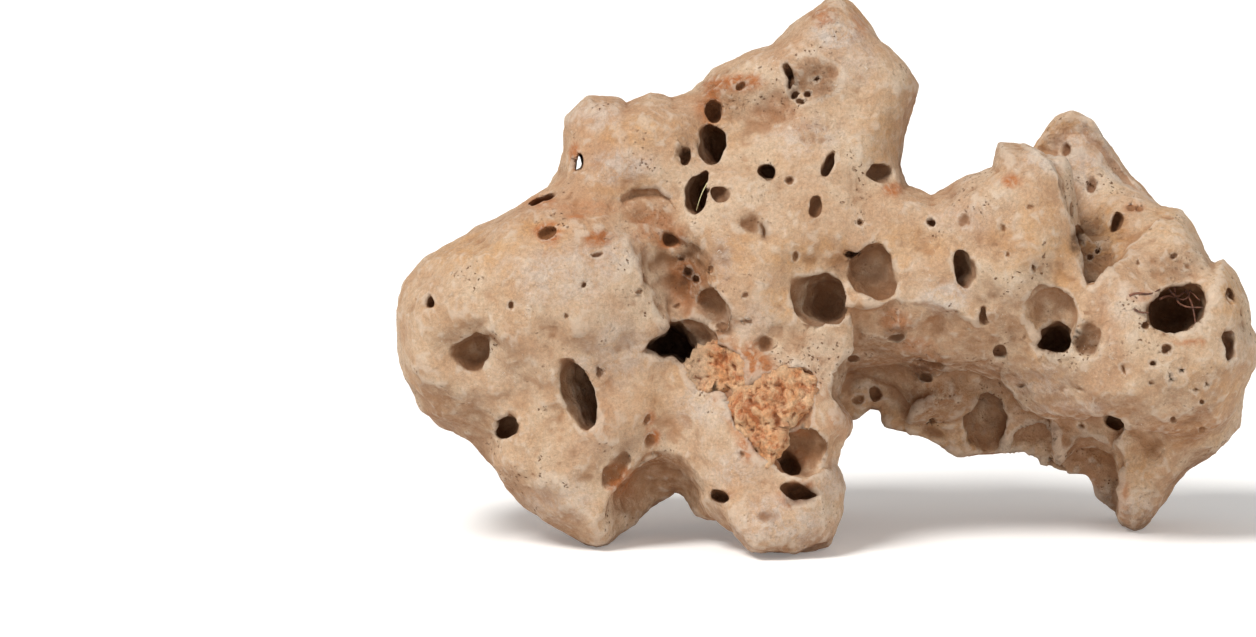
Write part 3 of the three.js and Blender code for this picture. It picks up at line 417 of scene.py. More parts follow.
# Smaller pits and pinholes that only the finished skin has.
PITS: dict[str, Bore] = {
    "boulder orange pit": Bore((-97.6, 112.3), (3.4, 1.8), 2.4, 20),
    "boulder slit": Bore((-80.2, 104.6), (2.2, 0.8), 2.0, 10),
    "boulder pinhole high": Bore((-84.9, 93.9), (0.8, 0.9), 2.0),
    "boulder pinhole low": Bore((-90.7, 83), (0.7, 0.8), 1.4),
    "boulder pinhole left": Bore((-110.3, 86.8), (0.9, 1.2), 2.0),
    "boulder crack": Bore((-79.5, 62.7), (0.5, 2.2), 1.2, 10),
    "valley crack high": Bore((-62.7, 97.1), (1.6, 0.5), 1.0, -15),
    "valley crack low": Bore((-65.2, 91.4), (1.2, 0.5), 0.8, 10),
    "valley dark pit": Bore((-45.7, 95.6), (0.9, 1.3), 2.2),
    "valley deep pit": Bore((-48.2, 98), (1.2, 1.9), 2.6, 20),
    "valley deep pit two": Bore((-50.6, 103), (1.1, 0.9), 2.0),
    "valley crumb": Bore((-52.2, 86.3), (1.2, 0.7), 0.9, 25),
    "valley side pit": Bore((-40.9, 99.1), (0.6, 1.0), 1.4),
    "cup bottom pit": Bore((-37, 80.1), (1.7, 1.3), 2.4, -20),
    "brow shallow": Bore((-24.5, 114.5), (6.5, 5.0), 2.2, -20, (0, 0), 2),
    "brow slit": Bore((-21.6, 113.4), (1.3, 3.4), 2.8, 12),
    "brow pinhole": Bore((-29.8, 116.6), (0.7, 0.7), 1.2),
    "waist shallow": Bore((-21.8, 72.6), (4.2, 3.0), 1.8, 15, (0, 0), 2),
    "waist crack": Bore((-27.6, 81.2), (1.8, 0.6), 1.0, -10),
    "waist pinhole": Bore((-28.5, 90.4), (0.9, 0.6), 0.9, 30),
    "brow round pit": Bore((-12.6, 130.9), (1.3, 1.5), 2.6),
    "ridge pinhole": Bore((-29.4, 163.5), (2.0, 1.1), 2.0, 20),
    "centre crumb": Bore((-10.9, 104), (1.3, 2.0), 1.8, -15),
    "centre pinhole": Bore((11.9, 115.5), (1.4, 1.2), 1.6),
    "bridge pinhole left": Bore((36.7, 116), (1.5, 1.7), 3.4, 20),
    "bridge shallow": Bore((48.7, 116.2), (2.0, 2.4), 1.6, 0, (0, 0), 2),
    "lobe pinhole": Bore((62, 114.1), (0.9, 1.4), 1.4, 10),
    "lobe white pit": Bore((71.6, 121.1), (1.0, 0.5), 1.0, 10),
    "lobe crack": Bore((72.7, 99.6), (0.8, 1.9), 1.4, 20),
    "lobe small pit": Bore((63.7, 104.8), (0.6, 0.7), 1.0),
    "horn hollow": Bore((84.1, 141.4), (1.9, 2.8), 3.0, 15),
    "horn orange pit": Bore((93.1, 129.2), (1.8, 3.0), 2.4, -8),
    "horn side pit": Bore((86.6, 120.5), (1.6, 2.6), 1.6),
    "slope orange pit": Bore((106.6, 121.4), (1.5, 1.0), 1.6),
    "slope orange pit two": Bore((109.7, 121.1), (1.1, 0.9), 1.4),
    "slope crack": Bore((119.4, 118.2), (2.4, 1.0), 1.6, -20),
    "recess pit left": Bore((92.4, 103.8), (1.1, 0.9), 1.6, 20),
    "recess pit right": Bore((95.1, 105.8), (0.7, 0.8), 1.4),
    "recess foot": Bore((92.6, 94.6), (1.5, 1.7), 3.0, 20),
    "funnel pinhole": Bore((109.3, 102), (0.7, 0.9), 1.6),
    "funnel pit": Bore((122, 104), (1.1, 0.8), 1.4, 30),
    "funnel pit right": Bore((126.5, 100.5), (1.0, 1.1), 1.6),
    "block pit one": Bore((119.6, 71), (1.9, 1.4), 3.0, 25),
    "block pit two": Bore((114.7, 66.4), (1.4, 1.2), 2.6),
    "block pit three": Bore((120.4, 61.8), (0.8, 1.5), 2.4, 15),
    "block pit four": Bore((114.2, 59.5), (0.9, 0.7), 1.6),
    "block pit five": Bore((133.2, 59.5), (0.7, 0.9), 1.8),
    "block pit six": Bore((131.5, 53.3), (0.9, 0.9), 2.0),
    "block pit seven": Bore((121.2, 46.4), (1.0, 1.8), 2.6, 8),
    "block pit eight": Bore((132.2, 42.6), (1.3, 1.1), 2.2),
    "block pit nine": Bore((129.4, 57.6), (0.9, 0.9), 1.6),
    "block pit ten": Bore((124.6, 64), (1.2, 0.9), 1.8),
    "dark hole side pit": Bore((111.8, 79.6), (1.3, 1.2), 1.8),
    "block hole left pit": Bore((69.6, 75.2), (1.0, 0.9), 1.4),
    "block edge crack": Bore((104.4, 64.2), (0.8, 2.2), 1.6, 25),
    "ledge pinholes": Bore((67.8, 58.5), (1.3, 0.5), 1.0),
    "ledge crack": Bore((88.6, 57.4), (1.4, 0.8), 1.2, -20),
    "notch dark pit": Bore((17, 55.8), (1.9, 2.5), 3.6, 10),
    "notch crumb": Bore((11.2, 54), (2.0, 1.4), 1.8, 20),
    "notch high pit": Bore((9.8, 68.1), (1.7, 1.3), 2.4),
    "crumbly deep": Bore((32.6, 66.8), (1.5, 1.9), 3.0),
    "crumbly slit": Bore((35, 61.4), (2.6, 1.1), 3.0, -10),
    "brow of notch": Bore((24.6, 74.8), (3.0, 1.4), 2.4, 8),
    "wall small pit": Bore((89.4, 44.6), (1.1, 1.0), 1.8),
    "pocket crack top": Bore((-14, 169.6), (1.2, 2.0), 3.0, 20),
    "pocket crack": Bore((-12.6, 164.8), (1.1, 2.2), 3.0, -10),
    "pocket crack low": Bore((-11, 160.6), (1.3, 1.6), 2.6, -30),
    "pocket crack end": Bore((-9, 158.2), (1.8, 0.9), 2.2, -15),
    "pocket hole": Bore((-6.2, 160.6), (1.3, 1.2), 2.6),
    "pocket crumb": Bore((-3, 166), (1.4, 1.0), 1.4, 20),
    "door inner pit": Bore((-0.3, 86.8), (1.3, 1.5), 23),
    "foot pinhole": Bore((-30, 34.5), (1.2, 1.3), 1.6),
    "foot shallow": Bore((-21, 14), (4.0, 2.4), 1.0, 0, (0, 0), 2),
    "leg red pit": Bore((-61.5, 39), (1.6, 2.8), 1.4, -10),
    "leg red hollow": Bore((-61, 32.5), (2.8, 1.8), 1.2, 20),
    "leg red crack": Bore((-62.4, 47), (1.0, 1.8), 1.4, -20),
}

# The dry fibre and the rootlets: their thickness in millimetres, and their lines. Each place is
# how far right and up it shows in the front view, and how far it stands off the stone.
FIBRE_THICK = 0.4
DRY_FIBRE: tuple[Line, ...] = (
    ((-41.6, 129.6, -0.6), (-43.0, 127, -1), (-44.2, 124, -2), (-45.4, 120, -5)),
)
ROOT_THICK = 0.9
ROOTLETS: tuple[Line, ...] = (
    ((106.2, 90.2, 0.3), (109, 91, 0.5), (113, 90.8, 0.5), (117, 92.4, -1)),
    ((108, 85.4, 0.3), (110, 84.4, 0.5), (113, 84.2, 0.2)),
    ((119, 94, -4), (123, 90, -8), (126, 91.5, -7), (131, 88.5, -5)),
    ((122, 94.5, -4), (122.5, 90, -9), (125.5, 86.5, -8), (132, 86, -5)),
    ((117, 89, -4), (121, 90, -9), (126, 89, -9), (128, 94.5, -4)),
    ((125, 95, -4), (127, 90, -8), (128.5, 86, -7), (129.5, 80, -5)),
)


class Tone(Enum):
    """What a patch of the stone's skin carries."""

    IRON = "iron"
    # Dirt, which in hollows and on the faces that look down is also painted shade.
    DIRT = "dirt"
    OCHRE = "ochre"
    BLOOM = "bloom"
    ROUGH = "rough"
    # Painted shade, laid dark where the stone lies in shadow.
    DARK = "dark"


@dataclass(frozen=True)
class Patch:
    """A soft-edged patch: where its middle is seen, its half sizes in mm and its strength."""

    seen: tuple[float, float]
    half: tuple[float, float]
    strength: float


# The patches that are read in front, by what they carry.
PATCHES: dict[Tone, dict[str, Patch]] = {
    Tone.IRON: {
        "earth stain small": Patch((-34, 65), (12, 9), 1),
        "earth stain large": Patch((-16, 53), (14, 11), 1),
        "earth stain low": Patch((-24, 42), (8, 9), 0.9),
        "peak tip stain": Patch((-1, 188), (5, 3), 0.55),
        "peak edge stain": Patch((12, 186), (4, 5), 0.4),
        "ridge stain": Patch((-34, 164), (9, 3), 0.8),
        "ridge stain low": Patch((-41, 155), (5, 6), 0.5),
        "ridge stain right": Patch((-26, 165), (6, 3), 0.5),
        "hollow stain": Patch((-17, 154), (11, 6), 0.3),
        "window stain": Patch((-88, 139), (2, 6), 0.7),
        "slot stain": Patch((-100, 123), (5, 2), 0.6),
        "boulder stain left": Patch((-97.5, 112.3), (5, 3.4), 1),
        "boulder stain right": Patch((-79.5, 110.6), (4.6, 3), 1),
        "boulder streak": Patch((-87, 118), (4, 1.5), 0.6),
        "peak crust": Patch((-30, 165.5), (9, 2.2), 0.9),
        "peak side crust": Patch((-40, 159), (3, 6), 0.8),
        "boulder brow stain": Patch((-82, 121), (13, 3), 0.3),
        "valley stain high": Patch((-60, 114), (8, 6), 0.4),
        "valley stain": Patch((-55, 109), (5, 3), 0.8),
        "valley stain low": Patch((-50, 94), (6, 10), 0.6),
        "leg stain one": Patch((-62, 47), (2, 3), 0.7),
        "leg stain two": Patch((-61, 41), (3, 3), 0.9),
        "leg stain low": Patch((-73, 26), (5, 6), 0.95),
        "leg hollow stain": Patch((-13, 33), (8, 5), 0.5),
        "foot pit stain": Patch((-10, 21), (6, 4), 0.7),
        "foot hole stain": Patch((-36, 20), (4, 2), 0.4),
        "oval pit stain": Patch((23, 127), (3, 2), 0.9),
        "lobe stain": Patch((65, 130), (4, 3), 0.8),
        "horn stain": Patch((84, 142), (3, 2), 0.6),
        "horn stain low": Patch((93, 130), (2, 3), 0.8),
        "slope stain": Patch((108, 121), (4, 2), 0.5),
        "rootlet stain": Patch((111, 90), (6, 2), 0.4),
        "streak under the dark hole": Patch((128, 74), (6, 1), 0.6),
        "waist stain": Patch((24, 81), (6, 5), 0.5),
        "waist stain right": Patch((32, 73), (7, 3), 0.45),
        "notch crack stain": Patch((17, 56), (5, 5), 0.45),
        "foot side stain": Patch((5, 47), (6, 6), 0.3),
        "spike side stain": Patch((104, 22), (2, 8), 0.45),
        "crumbly stain": Patch((35, 66), (6, 4), 0.4),
        "waist low stain": Patch((-23, 73), (5, 3), 0.5),
    },
    # Dirt patches, partly painted shade in the hollows and under the arm.
    Tone.DIRT: {
        "valley dirt high": Patch((-62, 119), (10, 7), 0.8),
        "valley dirt": Patch((-55, 110), (6, 4), 1),
        "valley dirt low": Patch((-49, 98), (7, 10), 1),
        "cup dirt": Patch((-40, 85), (6, 7), 0.35),
        "pocket dirt": Patch((-5, 166), (9, 8), 1),
        "pocket dirt low": Patch((-8, 161), (6, 3), 0.5),
        "hollow dirt": Patch((-17, 155), (10, 5), 0.35),
        "ridge dirt": Patch((-42, 154), (4, 5), 0.6),
        "twin dirt": Patch((-49, 141), (3, 5), 0.6),
        "brow dirt": Patch((-24, 115), (8, 6), 0.45),
        "waist dirt": Patch((24, 82), (8, 6), 0.6),
        "arch brow dirt": Patch((39, 79), (11, 7), 0.7),
        "crumbly dirt": Patch((35, 66), (8, 6), 0.5),
        "notch dirt": Patch((13, 60), (11, 11), 0.6),
        "wall dirt left": Patch((42, 52), (21, 11), 1),
        "wall dirt middle": Patch((71, 41), (13, 9), 1),
        "wall dirt right": Patch((89, 31), (7, 9), 0.9),
        "recess dirt": Patch((94, 109), (8, 11), 0.35),
        "brow hollow dirt": Patch((-63, 121), (9, 6), 0.8),
        "horn dirt": Patch((84, 141), (3, 4), 0.55),
        "horn hollow dirt": Patch((103, 116), (3, 4), 0.5),
        "funnel dirt": Patch((123, 102), (11, 7), 0.5),
        "bowl dirt": Patch((78, 87), (8, 6), 0.4),
        "block dish dirt": Patch((90, 75), (6, 6), 0.35),
        "leg side dirt": Patch((-64, 16), (11, 8), 0.6),
        "foot hole dirt": Patch((-36, 20), (5, 2), 0.5),
        "foot dirt": Patch((-24, 16), (6, 4), 0.3),
        "leg hollow dirt": Patch((-11, 33), (9, 6), 0.35),
        "edge under dirt": Patch((138, 31), (8, 4), 0.45),
        "back leg dirt": Patch((-69, 9), (6, 3), 0.5),
    },
    Tone.OCHRE: {
        "boulder left ochre": Patch((-122, 104), (17, 8), 0.55),
        "boulder top ochre": Patch((-101, 111), (13, 6), 0.5),
        "shoulder ochre": Patch((-67, 147), (13, 6), 0.55),
        "shoulder low ochre": Patch((-73, 129), (13, 4), 0.35),
        "peak right ochre": Patch((19, 146), (7, 13), 0.5),
        "door ochre": Patch((-8, 105), (13, 8), 0.55),
        "door left ochre": Patch((-17, 87), (5, 6), 0.5),
        "bridge ochre": Patch((29, 108), (16, 8), 0.4),
        "lobe ochre": Patch((71, 109), (13, 13), 0.5),
        "lobe edge ochre": Patch((84, 102), (5, 11), 0.6),
        "horn ochre": Patch((99, 136), (10, 11), 0.5),
        "slope ochre": Patch((119, 113), (10, 10), 0.4),
        "recess ochre": Patch((97, 111), (9, 13), 0.7),
        "block ochre": Patch((76, 64), (13, 6), 0.35),
        "end ochre": Patch((138, 60), (10, 13), 0.4),
        "spike ochre": Patch((108, 31), (8, 8), 0.5),
        "block low ochre": Patch((128, 43), (11, 6), 0.45),
        "leg ochre": Patch((-57, 60), (11, 11), 0.25),
        "ridge ochre": Patch((-42, 148), (11, 6), 0.35),
        "middle ochre": Patch((-31, 102), (10, 11), 0.4),
        "knob ochre": Patch((141, 90), (6, 10), 0.5),
    },
    Tone.BLOOM: {
        "shoulder bloom": Patch((-80, 153), (10, 6), 0.5),
        "shoulder low bloom": Patch((-73, 136), (11, 7), 0.6),
        "boulder bloom": Patch((-92, 98), (19, 11), 0.5),
        "boulder right bloom": Patch((-73, 104), (10, 8), 0.5),
        "peak bloom": Patch((4, 182), (9, 6), 0.8),
        "peak low bloom": Patch((10, 173), (8, 11), 0.4),
        "brow bloom": Patch((-6, 146), (13, 6), 0.55),
        "bridge bloom": Patch((42, 90), (9, 6), 0.8),
        "bridge top bloom": Patch((46, 117), (11, 5), 0.35),
        "lobe top bloom": Patch((76, 138), (9, 5), 0.7),
        "leg bloom": Patch((-73, 71), (15, 11), 0.5),
        "leg low bloom": Patch((-42, 52), (11, 8), 0.55),
        "foot bloom": Patch((-15, 11), (18, 9), 0.65),
        "foot left bloom": Patch((-32, 31), (10, 8), 0.5),
        "block bloom": Patch((75, 60), (13, 6), 0.55),
        "ledge bloom": Patch((86, 51), (15, 2), 0.7),
        "spike bloom": Patch((109, 15), (6, 6), 0.6),
        "slot bloom": Patch((143, 71), (6, 8), 0.4),
        "under horn bloom": Patch((105, 87), (10, 8), 0.4),
        "valley side bloom": Patch((-36, 104), (3, 8), 0.6),
        "waist bloom": Patch((-27, 81), (10, 8), 0.35),
        "foot right bloom": Patch((2, 25), (5, 8), 0.5),
        "leg end bloom": Patch((-92, 18), (13, 8), 0.5),
    },
    Tone.ROUGH: {
        "valley rough high": Patch((-60, 116), (8, 8), 0.7),
        "valley rough": Patch((-49, 100), (7, 11), 0.9),
        "pocket rough": Patch((-5, 166), (8, 8), 0.6),
        "ridge rough": Patch((-35, 160), (10, 8), 0.8),
        "twin rough": Patch((-50, 141), (4, 6), 0.8),
        "hollow rough": Patch((-17, 154), (9, 5), 0.45),
        "brow rough": Patch((-1, 147), (8, 6), 0.5),
        "waist rough": Patch((24, 81), (8, 7), 0.8),
        "crumbly rough": Patch((35, 66), (8, 6), 1),
        "recess rough": Patch((95, 109), (8, 11), 0.8),
        "funnel rough": Patch((123, 101), (11, 6), 0.7),
        "block dish rough": Patch((90, 75), (6, 6), 1),
        "block hole rough": Patch((81, 68), (7, 2), 0.8),
        "boulder scratch": Patch((-79, 111), (5, 3), 0.7),
        "earth edge rough": Patch((-27, 62), (15, 10), 0.5),
        "notch rough": Patch((13, 56), (9, 8), 0.4),
        "waist pit rough": Patch((-23, 81), (11, 4), 0.35),
        "ledge rough": Patch((76, 56), (15, 4), 0.35),
        "block rough": Patch((122, 64), (10, 10), 0.35),
        "spike rough": Patch((109, 13), (5, 4), 0.6),
        "foot rough": Patch((-15, 7), (15, 5), 0.4),
        "arm pit rough": Patch((40, 111), (11, 6), 0.25),
        "peak rough": Patch((-1, 188), (6, 3), 0.6),
        "dark hole rough": Patch((119, 79), (11, 3), 0.5),
    },
    # Painted shade: dark laid in pits, holes, hollows and under the arm.
    Tone.DARK: {
        "foot pit dark": Patch((-9, 20.6), (5.6, 3.4), 0.9),
        "foot hole dark": Patch((-37, 19.6), (3.4, 1.8), 0.8),
        "leg hollow dark": Patch((-13, 31), (3.6, 3), 0.8),
        "leg hollow shade": Patch((-11, 37.5), (6.5, 3.5), 0.3),
        "pocket dark": Patch((-11.5, 163.5), (2.4, 6), 0.6),
        "pocket shade": Patch((-4.4, 166.6), (8, 6.6), 0.25),
        "valley dark": Patch((-54.6, 110), (3, 2.2), 0.65),
        "valley dark low": Patch((-48.4, 97.6), (3.2, 3.6), 0.6),
        "valley dark middle": Patch((-49.6, 103.6), (4, 2.4), 0.35),
        "valley shade": Patch((-52, 96), (7, 12), 0.16),
        "cup dark": Patch((-38, 84), (3.6, 5), 0.4),
        "notch dark": Patch((19, 55), (5, 7), 0.6),
        "notch shade": Patch((12, 62), (10, 10), 0.22),
        "waist dark": Patch((24, 77), (5, 3), 0.6),
        "crumbly dark": Patch((34, 63), (4.4, 3), 0.7),
        "wall scallop dark": Patch((73, 42), (8, 5), 0.4),
        "spike scallop dark": Patch((90, 38), (7, 5), 0.4),
        "wall shade": Patch((46, 50), (22, 10), 0.4),
        "recess dark": Patch((90, 102), (3, 5), 0.2),
        "recess slot dark": Patch((86.6, 109), (2, 4), 0.8),
        "dark hole dark": Patch((121, 84), (9, 6), 0.6),
        "block hole dark": Patch((80, 74), (6, 5), 0.35),
        "bowl dark": Patch((12, 103), (4, 2.4), 0.4),
        "brow slit dark": Patch((-21.6, 113), (1.6, 4), 0.4),
        "cavity dark": Patch((-53, 73), (9, 6), 0.8),
        "cavity slope dark": Patch((-45, 73), (5, 4), 0.45),
    },
}


def soft_union(a: np.ndarray, b: np.ndarray, blend: float) -> np.ndarray:
    """Join two fields with a rounded seam.

    Args:
        a: first field, below zero inside.
        b: second field.
        blend: width of the rounding in millimetres.

    Returns:
        The joined field.
    """
    share = np.maximum(blend - np.abs(a - b), 0.0) / blend
    return np.minimum(a, b) - share * share * blend * 0.25


def soft_cut(a: np.ndarray, b: np.ndarray, blend: float) -> np.ndarray:
    """Take field b away from field a, rounding the edge over blend millimetres."""
    return -soft_union(-a, b, blend)


def ball_field(p: np.ndarray, at: np.ndarray, half: tuple[float, ...], lean: float) -> np.ndarray:
    """Field of a leaned ball with three half sizes.

    Args:
        p: points, one per row, in drawn millimetres.
        at: middle of the ball.
        half: half sizes along its own axes.
        lean: lean of its long axis in the front view, in degrees.

    Returns:
        About the distance to its skin, below zero inside.
    """
    cos, sin = math.cos(math.radians(lean)), math.sin(math.radians(lean))
    x, z = p[:, 0] - at[0], p[:, 2] - at[2]
    y = (p[:, 1] - at[1]) / half[1]
    u = (x * cos + z * sin) / half[0]
    w = (z * cos - x * sin) / half[2]
    reach = np.sqrt(u * u + y * y + w * w)
    slope = np.sqrt((u / half[0]) ** 2 + (y / half[1]) ** 2 + (w / half[2]) ** 2)
    distance = reach * (reach - 1) / np.maximum(slope, NEAR_ZERO)
    return np.where(slope < NEAR_ZERO, -min(half), distance)


def line_field(place: np.ndarray, line: tuple[tuple[float, float], ...]) -> np.ndarray:
    """How far places in the front view lie outside a closed line.

    Args:
        place: the places, one per row.
        line: the line's corners.

    Returns:
        The distances to the line, below zero inside it.
    """
    nearest = np.full(len(place), np.inf)
    inside = np.zeros(len(place), bool)
    for start, end in zip(line, line[1:] + line[:1]):
        run = np.subtract(end, start)
        off = place - start
        along = np.clip(off @ run / (run @ run), 0.0, 1.0)
        nearest = np.minimum(nearest, np.hypot(*(off - along[:, None] * run).T))
        crosses = (start[1] > place[:, 1]) != (end[1] > place[:, 1])
        if run[1]:
            inside ^= crosses & (off[:, 0] < off[:, 1] * run[0] / run[1])
    return np.where(inside, -nearest, nearest)


@dataclass(frozen=True)
class FrontView:
    """The view that the outline and the hollows are read from, as the part's source states it."""

    distance: float = 2000.0
    tilt: float = 8.0
    target: tuple[float, float, float] = (-69.3, 10.9, 74.3)
    centre: tuple[float, float] = (-69.3, 82.1)

    @property
    def up(self) -> np.ndarray:
        """Way up in the picture."""
        return np.array([0.0, math.sin(math.radians(self.tilt)), math.cos(math.radians(self.tilt))])

    @property
    def ahead(self) -> np.ndarray:
        """Way into the picture."""
        return np.array([0.0, math.cos(math.radians(self.tilt)), -math.sin(math.radians(self.tilt))])

    def place(self, p: np.ndarray) -> np.ndarray:
        """Where points show.

        Args:
            p: points in drawn millimetres.

        Returns:
            For each point, the millimetres right of the middle and above the ground line.
        """
        arm = p - self.target
        shrink = self.distance / (self.distance + arm @ self.ahead)
        return np.stack([arm[:, 0] * shrink, arm @ self.up * shrink], 1) + self.centre

    def behind(self, seen: tuple[float, float], depth: float) -> np.ndarray:
        """The point that shows at a place and lies at a depth along Y.

        Args:
            seen: the place in the view.
            depth: the wanted Y in drawn millimetres.

        Returns:
            The point, in drawn millimetres.
        """
        ray = self.up * (seen[1] - self.centre[1]) + self.ahead * self.distance
        ray[0] += seen[0] - self.centre[0]
        eye = np.array(self.target) - self.ahead * self.distance
        return eye + ray * (depth - eye[1]) / ray[1]


class Grain:
    """Seeded noise for relief that has no place in the photograph."""

    LATTICE = 256
    FULL = 1.7

    def __init__(self, seed: int) -> None:
        """Draw the lattice's slopes and its shuffle.

        Args:
            seed: the same seed gives the same grain.
        """
        draw = np.random.default_rng(seed)
        self.shuffle = draw.permutation(self.LATTICE)
        slopes = draw.normal(size=(self.LATTICE, 3))
        self.slopes = slopes / np.linalg.norm(slopes, axis=1)[:, None]
        self.points = draw.random((self.LATTICE, 3))

    def _pick(self, cell: np.ndarray) -> np.ndarray:
        """Each lattice cell's own number.

        Args:
            cell: whole places in the lattice, one per row.

        Returns:
            One number from 0 to 255 for each cell.
        """
        last = self.LATTICE - 1
        first = self.shuffle[cell[:, 0] & last]
        second = self.shuffle[(first + cell[:, 1]) & last]
        return self.shuffle[(second + cell[:, 2]) & last]

    def smooth(self, p: np.ndarray, wave: float) -> np.ndarray:
        """Smooth noise.

        Args:
            p: points in drawn millimetres.
            wave: wavelength in millimetres.

        Returns:
            One number per point, from about -1 to 1.
        """
        q = p / wave
        cell = np.floor(q).astype(int)
        f = q - cell
        s = f * f * f * (f * (f * 6 - 15) + 10)
        total = np.zeros(len(p))
        for corner in itertools.product((0, 1), repeat=3):
            slope = self.slopes[self._pick(cell + corner)]
            share = np.prod(np.where(corner, s, 1 - s), axis=1)
            total += share * ((f - corner) * slope).sum(1)
        return total * self.FULL

    def layer(self, p: np.ndarray, size: tuple[float, float]) -> np.ndarray:
        """Smooth noise as high and as wide as its size says."""
        high, wave = size
        return high * self.smooth(p, wave)

    def pocks(self, p: np.ndarray, wave: float) -> np.ndarray:
        """How far the nearest of scattered points is.

        Args:
            p: points in drawn millimetres.
            wave: how far apart the scattered points are, in millimetres.

        Returns:
            The distances, as shares of the wavelength.
        """
        q = p / wave
        cell = np.floor(q).astype(int)
        nearest = np.full(len(p), np.inf)
        for corner in itertools.product((-1, 0, 1), repeat=3):
            other = cell + corner
            point = other + self.points[self._pick(other)]
            nearest = np.minimum(nearest, ((q - point) ** 2).sum(1))
        return np.sqrt(nearest)


@dataclass
class Landed:
    """A feature brought to the skin: its middle and, for a bore, its own three ways."""

    at: np.ndarray
    across: np.ndarray | None = None
    along: np.ndarray | None = None
    inward: np.ndarray | None = None


